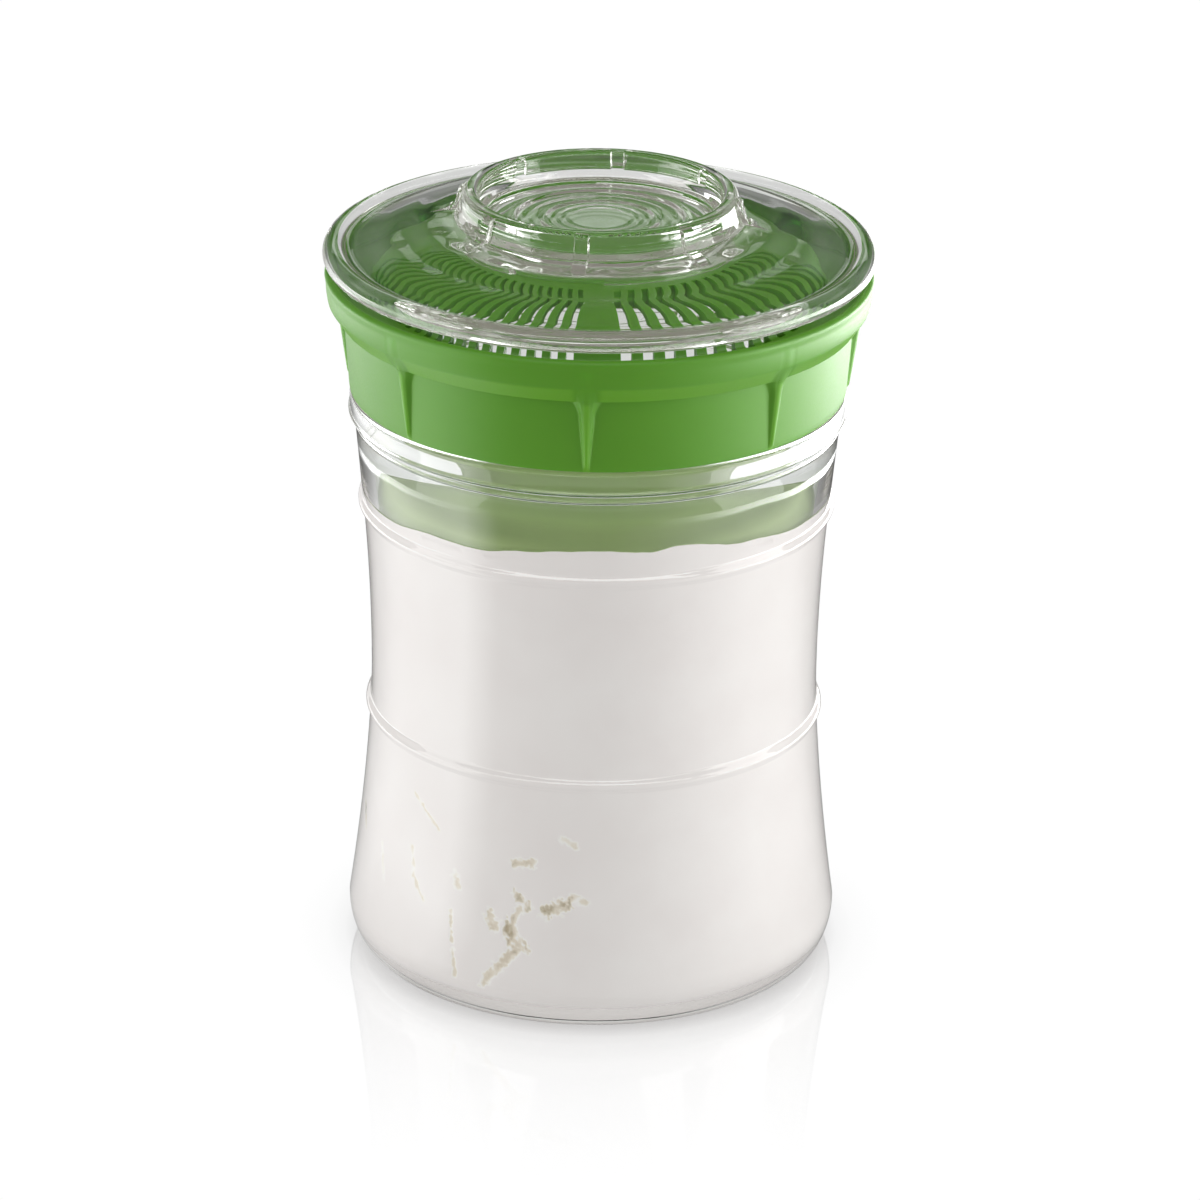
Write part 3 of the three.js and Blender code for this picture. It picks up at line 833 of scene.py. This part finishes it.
def slot_cutters():
    """One wedge for each slot, joined into a single cutting tool."""
    wedges = []
    for angles, width in ((FINE_SLOTS, FINE_WIDTH), (COARSE_SLOTS, COARSE_WIDTH)):
        for angle in angles:
            deselect()
            bpy.ops.mesh.primitive_cube_add(size=1)
            wedge = bpy.context.object
            for corner in wedge.data.vertices:
                radius = SLOT_OUTER if corner.co.y < 0 else SLOT_INNER
                height = SLOT_HEAD if corner.co.z > 0 else SLOT_SILL
                corner.co = spot_at(radius, angle + copysign(width / 2, corner.co.x), height)
            wedges.append(wedge)
    make_active(wedges[0])
    for wedge in wedges:
        wedge.select_set(True)
    bpy.ops.object.join()
    return wedges[0]


def make_lid(plastic):
    lid = turned("lid_strainer", lid_section(), LID_COLUMNS)

    def raise_ribs(radius, angle, z):
        if radius < NEAR_AXIS:
            return radius, angle, z
        angle, across = rib_column(angle, LID_TURN, LID_RIBS, radius, *rib_width(z))
        panel = panel_radius(z)
        if RIB_START < z < FLARE_TOP and radius > panel - 0.02:
            rib = rib_rise(across, z)
            radius = panel + soft_max(radius - panel, rib, min(rib, RIB_FILLET) + 0.001)
        return radius, angle, z

    reshape(lid, raise_ribs)
    combine(lid, slot_cutters(), "DIFFERENCE")
    offset = THREAD_ROOT / 2 + THREAD_TIP / 2 + THREAD_PLAY
    start = THREAD_START + THREAD_LEAD / 360 * PITCH - offset
    ridge = thread_ridge("lid_ridge", LID_TURNS, THREAD_LEAD, start, SKIRT_INNER, NECK_RADIUS + THREAD_GAP)
    combine(lid, ridge, "UNION")
    finish_surface(lid, plastic, PLASTIC_SHARP)
    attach(lid, "lid")
    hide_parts("strainer_lid")


# Clear cover


def plate_height(radius):
    share = clamp((PLATE_EDGE_RADIUS - radius) / (PLATE_EDGE_RADIUS - RING_RADIUS - RING_FILLET))
    return PLATE_EDGE + (PLATE_TOP - PLATE_EDGE) * (1 - (1 - share) ** PLATE_CURVE)


def cup_ring(radius):
    """Shallow raised rings in the floor of the finger cup."""
    return max(height * swell(abs(radius - middle) / (width / 2)) for middle, width, height in CUP_RINGS)


def cover_section():
    ring_inner = RING_TOP_RADIUS - RING_WALL
    underside = CUP_FLOOR - PLATE
    section = [(COLLAR_INNER * i / 8, underside) for i in range(8)]
    section += rounded(COLLAR_INNER - COLLAR_FILLET, underside - COLLAR_FILLET, COLLAR_FILLET, 90, 0, 4)
    section += rounded(COLLAR_INNER + COLLAR_ROUND, COLLAR_BOTTOM + COLLAR_ROUND, COLLAR_ROUND, 180, 270, 3)
    section += rounded(COLLAR_OUTER - COLLAR_ROUND, COLLAR_BOTTOM + COLLAR_ROUND, COLLAR_ROUND, 270, 360, 3)
    under_plate = PLATE_TOP - PLATE - PLATE_FILLET
    section += arc(COLLAR_OUTER + PLATE_FILLET, under_plate, -PLATE_FILLET, PLATE_FILLET, 0, 90, 5)
    plate = steps_between(COLLAR_OUTER + 1.6, PLATE_EDGE_RADIUS, 1.5)
    section += [(r, plate_height(r) - PLATE) for r in plate]
    tube = rounded(EDGE_RADIUS, EDGE_HEIGHT, EDGE_TUBE, 208, 480, 44)
    section += tube
    brim, brim_height = tube[-1]
    for i in range(1, 7):
        drop = (GROOVE_HEIGHT - brim_height) * sin(pi / 12 * i)
        section.append((brim + (GROOVE_RADIUS - brim) * i / 6, brim_height + drop))
    section += [(r, plate_height(r)) for r in steps_between(PLATE_EDGE_RADIUS, RING_RADIUS + 1.2, 0.8)]
    section += rounded(RING_RADIUS + RING_FILLET, PLATE_TOP + RING_FILLET, -RING_FILLET, 85, 8, 5)
    ring_edge = RING_TOP - RING_ROUND
    lean = (RING_RADIUS - RING_TOP_RADIUS) / (ring_edge - PLATE_TOP)
    wall = steps_between(PLATE_TOP + 1.1, ring_edge, 0.5)[1:-1]
    section += [(RING_RADIUS - lean * (z - PLATE_TOP), z) for z in wall]
    section += rounded(RING_TOP_RADIUS - RING_ROUND, ring_edge, RING_ROUND, 0, 90, 8)
    section += rounded(ring_inner + RING_ROUND, ring_edge, RING_ROUND, 90, 180, 8)
    section += straight((ring_inner, ring_edge), (CUP_RADIUS, ring_edge - CUP_DRAFT), 5)
    section += rounded(CUP_RADIUS - CUP_FILLET, CUP_FLOOR + CUP_FILLET, CUP_FILLET, 0, -90, 7)
    floor = steps_between(CUP_RADIUS - 2.0, 0.0, 0.55)[1:]
    section += [(r, CUP_FLOOR + cup_ring(r)) for r in floor]
    return section


def collar_notches():
    """Tools for the two breathing notches through the collar."""
    inner, outer = COLLAR_INNER - 0.4, COLLAR_OUTER + 0.4
    low, high = COLLAR_BOTTOM - 0.5, COLLAR_BOTTOM + NOTCH_HEIGHT
    section = [(inner, low), (outer, low), (outer, high), (inner, high)]
    tools = []
    for first in NOTCHES:
        deselect()
        bpy.ops.mesh.primitive_plane_add(size=MM)
        tool = bpy.context.object
        order = sorted(tool.data.vertices, key=lambda v: atan2(v.co.y, v.co.x))
        for corner, (radius, height) in zip(order, section):
            corner.co = spot_at(radius, first, height)
        make_active(tool)
        set_mode("EDIT")
        select_mesh("SELECT")
        bpy.ops.mesh.spin(steps=24, angle=radians(NOTCH_SPAN), center=(0, 0, 0), axis=(0, 0, 1))
        close_mesh(cap=True)
        tools.append(tool)
    return tools


def plate_ripple(radius, angle):
    """Waves left in the underside of the moulded plate, fainter at the back."""
    turn = radians(angle)
    stray = noise.noise(Vector((radius * sin(turn), radius * cos(turn), 0)) * 0.12)
    front = 0.08 + 0.92 * smooth((108 - abs(angle)) / 50)
    return front * (RIPPLE * sin(tau * radius / RIPPLE_LENGTH) + RIPPLE_STRAY * stray)


def make_cover(plastic):
    cover = turned("cover_clear", cover_section(), COVER_COLUMNS)

    def mould(radius, angle, z):
        if radius < NEAR_AXIS:
            return radius, angle, z
        rib_shape = (COVER_RIB_CROWN, COVER_RIB_FLANK)
        angle, across = rib_column(angle, COVER_TURN, COVER_RIBS, radius, *rib_shape)
        under = plate_height(radius) - PLATE
        if COLLAR_OUTER + 2 < radius < GROOVE_RADIUS - 1 and abs(z - under) < 0.05:
            z += plate_ripple(radius, angle)
        rib = 1 - smooth((across - COVER_RIB_CROWN) / COVER_RIB_FLANK)
        near_ring = RING_TOP_RADIUS - 0.5 <= radius <= RING_RADIUS + 6
        if not near_ring or z < PLATE_TOP - 2.2 or rib <= 0:
            return radius, angle, z
        if radius <= RING_RADIUS + 0.9 and z > PLATE_TOP - 0.1:
            above = (z - PLATE_TOP) / (RING_TOP - PLATE_TOP)
            radius += COVER_RIB_RISE * rib * (1 - smooth((above - 0.8) / 0.2))
        else:
            run = clamp((radius - RING_RADIUS) / RIB_FOOT_REACH)
            z += RIB_FOOT_RISE * rib * (1 - run) ** 2
        return radius, angle, z

    reshape(cover, mould)
    for tool in collar_notches():
        combine(cover, tool, "DIFFERENCE")
    finish_surface(cover, plastic, CLEAR_SHARP)
    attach(cover, "cover")
    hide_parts("clear_cover")


# Contents


# Ragged marks where the curd has drawn away from the glass: angle and height at both ends, half width in
# millimetres, and how open the mark is.
CURD_MARKS = [
    (-52.5, 45.2, -42.5, 39.3, 0.45, 0.45),
    (-82.0, 32.5, -79.0, 28.0, 0.7, 0.7),
    (-66.0, 29.0, -63.0, 22.0, 0.6, 0.3),
    (-52.0, 33.0, -50.5, 28.0, 0.5, 0.4),
    (-51.0, 27.5, -46.5, 22.5, 0.6, 0.45),
    (-36.5, 30.5, -35.5, 28.5, 0.9, 0.4),
    (-37.0, 22.5, -36.0, 15.5, 0.45, 0.5),
    (-35.5, 14.0, -34.0, 8.5, 0.5, 0.4),
    (-25.6, 23.4, -24.6, 21.8, 1.2, 0.75),
    (-20.0, 36.3, -15.0, 37.0, 0.8, 0.7),
    (-19.0, 29.3, -15.5, 26.8, 0.8, 0.8),
    (-18.0, 26.5, -20.0, 22.0, 0.7, 0.75),
    (-20.8, 21.6, -17.5, 17.5, 1.3, 1.0),
    (-19.5, 16.0, -26.4, 8.8, 0.9, 0.6),
    (-11.0, 26.2, -5.8, 29.0, 1.1, 1.0),
    (-7.5, 43.0, -4.0, 41.6, 0.7, 0.35),
    (-4.8, 30.0, -1.5, 28.8, 0.8, 0.4),
]

# The curd's edge on the glass: angle and height over the level of the milk.
MILK_EDGE = [
    (-180, -1.0), (-130, -2.0), (-90, -4.0), (-60, -3.6), (-44, -2.3), (-29, -2.5), (-18.6, -1.2),
    (-9, -0.4), (0, -0.1), (13.6, -0.5), (20.7, 0.4), (40, -1.8), (59, -3.2), (90, -4.0), (130, -2.0),
    (180, -1.0),
]


def pocket_depth(angle, z):
    """How far the curd is from the glass at a point, from 0 to 1."""
    arc_mm = radians(1) * BELLY_RADIUS
    spot = Vector((angle * arc_mm, z, 0))
    stray = noise.noise(spot * 0.6) * 0.55 + noise.noise(spot * 1.5) * 0.5
    broken = 0.5 + 0.5 * smooth(0.65 + 1.3 * noise.noise(spot * 0.33 + Vector((4, 9, 2))))
    depth = 0.0
    for start_angle, start_z, end_angle, end_z, half, openness in CURD_MARKS:
        start = Vector((start_angle * arc_mm, start_z, 0))
        run = Vector((end_angle * arc_mm, end_z, 0)) - start
        share = clamp((spot - start).dot(run) / run.length_squared)
        off = (spot - start - run * share).length
        if off < half * 4:
            depth = max(depth, openness * broken * smooth(0.95 - off / (half * 2.0) + stray))
    return depth


def milk_line(angle):
    """Height of the curd's edge on the glass, over the level of the milk."""
    for (before, low), (after, high) in zip(MILK_EDGE, MILK_EDGE[1:]):
        if before <= angle <= after:
            edge = low + (high - low) * smooth((angle - before) / (after - before))
    waves = noise.noise(Vector((angle * 0.09, 1.3, 0))) * 0.2
    return edge + (waves + noise.noise(Vector((angle * 0.4, 2.1, 0))) * 0.12)


def milk_section():
    """The skin of the milk against the glass and its top, drawn up a little at the edge."""
    section = cavity(MILK_PRESS, FILL_HEIGHT + 0.9, 1.2)
    wide = section[-1][0]
    for inward, up in ((0.45, 0.95), (0.9, 0.55), (1.8, 0.2), (3.2, 0.05)):
        section.append((wide - inward, FILL_HEIGHT + up))
    return wide, section + [((wide - 4.5) * (1 - i / 14), FILL_HEIGHT) for i in range(15)]


def refine_marks(milk):
    """Cut the milk's skin finer where the curd's marks lie."""
    set_mode("EDIT")
    bpy.ops.mesh.select_mode(type="FACE")
    select_mesh("DESELECT")
    set_mode("OBJECT")
    (left, right), (low, high) = FINE_ANGLES, FINE_HEIGHTS
    for face in milk.data.polygons:
        x, y, z = (c / MM for c in face.center)
        angle = degrees(atan2(x, -y))
        face.select = left < angle < right and low < z < high and hypot(x, y) > FINE_RADIUS
    set_mode("EDIT")
    bpy.ops.mesh.subdivide(number_cuts=2)
    set_mode("OBJECT")


def make_milk(curd):
    wide, section = milk_section()
    milk = turned("milk_curd", section, MILK_COLUMNS)
    refine_marks(milk)
    (left, right), (low, high) = FINE_ANGLES, FINE_HEIGHTS
    depths = []
    lid_shades = []

    def settle(radius, angle, z):
        depth = 0.0
        if radius > FINE_RADIUS and low - 1 < z < high + 2 and left - 2 < angle < right + 2:
            depth = pocket_depth(angle, z)
            radius -= MARK_DEPTH * depth
        top = smooth((z - (FILL_HEIGHT - 3)) / 3)
        rim = smooth((radius - (wide - 5)) / 4)
        z += milk_line(angle) * top * rim
        lid_shade = 0.0
        # The top under the lid is marked for painted shade and green lid light, more strongly towards the
        # glass.
        if top > 0.9 and radius < wide - 0.3:
            lid_shade = 0.55 + 0.45 * smooth((radius - wide + 26) / 22)
        depths.append(depth)
        lid_shades.append(lid_shade)
        return radius, angle, z

    reshape(milk, settle)
    for name, values in (("whey", depths), ("lid_shade", lid_shades)):
        milk.data.attributes.new(name, "FLOAT", "POINT").data.foreach_set("value", values)
    finish_surface(milk, curd, CURD_SHARP)
    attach(milk, "jar")
    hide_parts("kefir_milk")


def grain_place(node):
    """A kefir grain's angle, height and radius, from its CAD solid."""
    low, high = node_box(node)
    middle = [(a + b) / 2 for a, b in zip(low, high)]
    angle = degrees(atan2(middle[0], -middle[1]))
    return angle, middle[2], (high[2] - low[2]) / 2


def make_grains(curd):
    for node in GRAINS:
        angle, height, radius = grain_place(node)
        deselect()
        bpy.ops.mesh.primitive_ico_sphere_add(subdivisions=5, radius=1)
        grain = bpy.context.object
        grain.name = node.replace("kefir_grain", "grain")
        middle = spot_at(body_radius(height) - GLASS_WALL - radius * 0.62, angle, height) / MM
        seed = Vector((angle, height, radius))
        for corner in grain.data.vertices:
            way = corner.co.normalized()
            lumps = noise.noise(way * 1.7 + seed) * 0.28
            knobs = 1 - abs(noise.noise(way * 4.2 + seed))
            spot = middle + way * radius * (0.8 + lumps + 0.22 * (knobs - 0.6))
            reach = hypot(spot.x, spot.y)
            most = body_radius(spot.z) - GLASS_WALL - 0.15
            if reach > most:
                spot.x *= most / reach
                spot.y *= most / reach
            corner.co = spot * MM
        finish_surface(grain, curd, CURD_SHARP)
        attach(grain, "jar")
        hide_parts(node)


# Studio


OUTSIDE_PATH = 3  # surfaces met at most by light that is mirrored off the outside of a piece
INSIDE_PATH = LONGEST_PATH * 4  # and by light that is mirrored inside clear glass or plastic
THROUGH_GLASS = (0.72, 0.71, 0.69)  # the room as seen straight through clear glass or plastic
INSIDE_GLASS = (0.26, 0.245, 0.215)  # and after mirroring inside it

# How bright the table is where the jar mirrors it, by degrees from the front: a softbox shines on it from
# each side, with soft edges. The lid mirrors the table farther out.
JAR_SHINE = [
    (-180, 0.1), (-150, 0.15), (-125, 0.8), (-105, 1.8), (-75, 2.5), (-63, 2.8), (-45, 0.3), (8, 0.2),
    (25, 0.55), (50, 1.3), (75, 1.6), (105, 1.05), (125, 0.4), (150, 0.12), (180, 0.1),
]
LID_SHINE = [
    (-180, 0.3), (-150, 1.0), (-125, 4.4), (-105, 5.6), (-62, 3.6), (-50, 0.6), (-35, 0.2), (25, 0.15),
    (45, 2.1), (70, 8.0), (105, 12.6), (125, 12.6), (150, 3.4), (180, 0.3),
]
BRIGHTEST = 12.6
SHEET_GLOW = 1.01  # the table as the camera sees it

# The wall is drawn at half its size and then doubled, so that its heights stay within a ramp's 0 to 1.
WALL_RADIUS = 2.8
WALL_HEIGHT = 1.7
WHITE_FROM = 1.08  # above this the wall is white straight behind the jar and round the front


def glowing_material(name):
    """A material without a surface yet, that isn't sampled as a lamp when it glows."""
    material, tree, shader = new_material(name)
    material.cycles.emission_sampling = "NONE"
    tree.nodes.remove(shader)
    return material, tree


def emission(tree, strength, colour=(1, 1, 1)):
    glow = tree.nodes.new("ShaderNodeEmission")
    settings(glow, Color=(*colour, 1), Strength=strength)
    return glow


def mirrored_rays(path, most):
    """1 for light that has been mirrored and has met no more than so many surfaces."""
    bounced = maths("GREATER_THAN", path["Glossy Depth"], 0.5)
    early = maths("LESS_THAN", path["Ray Depth"], most + 0.5)
    return maths("MULTIPLY", bounced, early)


def white_floor():
    """A white table, lit from below for the camera, with a painted shadow round the foot of the jar and a
    soft reflection of what stands on it.
    """
    material, tree = glowing_material("studio_white")
    path = tree.nodes.new("ShaderNodeLightPath").outputs
    place = object_place(tree)
    right, back, _ = axes_of(place)
    length = tree.nodes.new("ShaderNodeVectorMath")
    length.operation = "LENGTH"
    link(place, length.inputs[0])
    far = length.outputs["Value"]

    sheet = emission(tree, SHEET_GLOW)
    # Painted shadow: the table's glow is darker under and round the foot of the jar.
    painted_contact_shadow = [(0.042, 0.35), (0.049, 0.5), (0.053, 0.84), (0.058, 0.95), (0.066, 1)]
    link(ramp(far, painted_contact_shadow), sheet.inputs["Color"])
    behind = ramp(far, [(0.1, SHEET_GLOW), (0.2, 0.72)])
    strength = mixed(path["Is Camera Ray"], behind, (SHEET_GLOW,) * 3)
    link(strength, sheet.inputs["Strength"])
    gloss = tree.nodes.new("ShaderNodeBsdfGlossy")
    settings(gloss, Color=(1, 1, 1, 1), Roughness=0.04)
    fade = ramp(far, [(0.05, 0.34), (0.065, 0.22), (0.085, 0.1), (0.105, 0.04), (0.125, 0)])

    around = angle_from_front(right, back)
    share = maths("ADD", maths("MULTIPLY", around, 1 / tau), 0.5)
    shines = []
    for shine in (JAR_SHINE, LID_SHINE):
        stops = [(0.5 + angle / 360, glow / BRIGHTEST) for angle, glow in shine]
        shines.append(ramp(share, stops))
    outward = ramp(far, [(0.32, 0), (0.38, 1)])
    # Painted shade: what the jar mirrors of the table is dimmer near its foot.
    at_foot = ramp(far, [(0.06, 0.2), (0.13, 1)])
    mirrored = emission(tree, 1)
    link(mixed(outward, *shines), mirrored.inputs["Color"])
    link(maths("MULTIPLY", at_foot, BRIGHTEST), mirrored.inputs["Strength"])
    inside = emission(tree, 1, INSIDE_GLASS)
    layers = [
        (fade, gloss.outputs["BSDF"]),
        (mirrored_rays(path, INSIDE_PATH), inside.outputs["Emission"]),
        (mirrored_rays(path, OUTSIDE_PATH), mirrored.outputs["Emission"]),
        (path["Is Diffuse Ray"], emission(tree, 0.84).outputs["Emission"]),
    ]
    layered(sheet.outputs["Emission"], layers)

    deselect()
    bpy.ops.mesh.primitive_plane_add(size=8, location=(0, 0, 0))
    floor = bpy.context.object
    floor.name = "studio_floor"
    floor.data.materials.append(material)


def surroundings(path, outside):
    """The room's colour: what a first mirroring sees outside, or what reaches the eye through glass."""
    inside = mirrored_rays(path, INSIDE_PATH)
    first = mirrored_rays(path, OUTSIDE_PATH)
    return mixed(first, mixed(inside, THROUGH_GLASS, INSIDE_GLASS), outside)


def studio_wall():
    """A wall all round, which shows only in mirrorings and through clear pieces."""
    material, tree = glowing_material("studio_wall")
    right, back, up = axes_of(object_place(tree))
    aside = maths("ABSOLUTE", maths("ARCTAN2", right, back), 0)
    below = ramp(aside, [(0.16, 0.03), (0.45, 0.42)])
    low = ramp(up, [(0.1, 0.26), (0.35, 0)])
    above = ramp(up, [(WHITE_FROM / 2, 0), (WHITE_FROM / 2 + 0.02, 1)])
    behind = ramp(aside, [(0.16, 1), (0.2, 0), (0.7, 0), (0.9, 1)])
    above = maths("MULTIPLY", above, behind)
    pattern = maths("MAXIMUM", below, maths("MAXIMUM", low, above))
    path = tree.nodes.new("ShaderNodeLightPath").outputs
    glow = emission(tree, 1)
    link(surroundings(path, pattern), glow.inputs["Color"])
    link(glow.outputs["Emission"], tree.nodes["Material Output"].inputs["Surface"])
    deselect()
    bpy.ops.mesh.primitive_cylinder_add(
        vertices=64, radius=WALL_RADIUS / 2, depth=WALL_HEIGHT / 2, end_fill_type="NOTHING",
        location=(0, 0, WALL_HEIGHT / 4),
    )
    bpy.ops.object.transform_apply(location=True, rotation=True, scale=True)
    wall = bpy.context.object
    wall.name = "studio_wall"
    wall.data.materials.append(material)
    wall.visible_camera = False
    wall.visible_diffuse = False
    wall.scale = (2, 2, 2)


def softbox(name, spot, aim, size, power):
    light = bpy.data.lights.new(name, "AREA")
    light.shape = "RECTANGLE"
    light.size, light.size_y = size
    light.energy = power
    lamp = bpy.data.objects.new(name, light)
    lamp.location = spot
    lamp.rotation_euler = (Vector(aim) - Vector(spot)).to_track_quat("-Z", "Y").to_euler()
    bpy.context.collection.objects.link(lamp)
    return lamp


def studio():
    white_floor()
    studio_wall()
    softbox("left_softbox", (-1.2, -0.3, 0.5), (0, 0, 0.09), (0.9, 0.9), 5.6)
    softbox("right_softbox", (1.2, -0.2, 0.5), (0, 0, 0.09), (0.9, 0.9), 7.8)
    edge_light = softbox("edge_softbox", (0, -0.97, 1.14), (0, 0, 0.14), (2.6, 0.22), 9.0)
    edge_light.visible_diffuse = False
    world = bpy.data.worlds.new("studio")
    world.use_nodes = True
    tree = world.node_tree
    path = tree.nodes.new("ShaderNodeLightPath").outputs
    room = surroundings(path, (0.06, 0.06, 0.06))
    sky = mixed(path["Is Diffuse Ray"], room, (0.52, 0.52, 0.52))
    link(sky, tree.nodes["Background"].inputs["Color"])
    scene = bpy.context.scene
    scene.world = world
    scene.view_settings.view_transform = "Standard"
    scene.cycles.max_bounces = 24
    scene.cycles.glossy_bounces = 16
    scene.cycles.transmission_bounces = 20
    scene.cycles.transparent_max_bounces = 24


def camera():
    """The photograph's view: straight in front of the jar, looking down on the cover."""
    lens = bpy.data.cameras.new("camera")
    lens.sensor_width = 36
    lens.lens = 172.6
    lens.shift_x = 0.00425
    lens.clip_start = 0.05
    eye = bpy.data.objects.new("camera", lens)
    elevation = radians(22.56)
    distance = 1.251
    aim = Vector((0, 0, 0.07855))
    eye.location = aim + Vector((0, -cos(elevation), sin(elevation))) * distance
    eye.rotation_euler = (aim - eye.location).to_track_quat("-Z", "Y").to_euler()
    eye.rotation_euler.rotate_axis("Z", radians(0.775))
    bpy.context.collection.objects.link(eye)
    bpy.context.scene.camera = eye


glass = clear_material("glass", (0.968, 0.984, 0.97), 1.5, 0.0, 0.04, 60)
cover_plastic = clear_material("clear_plastic", (0.975, 0.98, 0.97), 1.49, 0.01, 0.03, 90)
make_jar(glass)
make_seal(milky_silicone())
make_lid(green_plastic())
make_cover(cover_plastic)
make_milk(cultured_milk())
make_grains(kefir_curd())
studio()
camera()
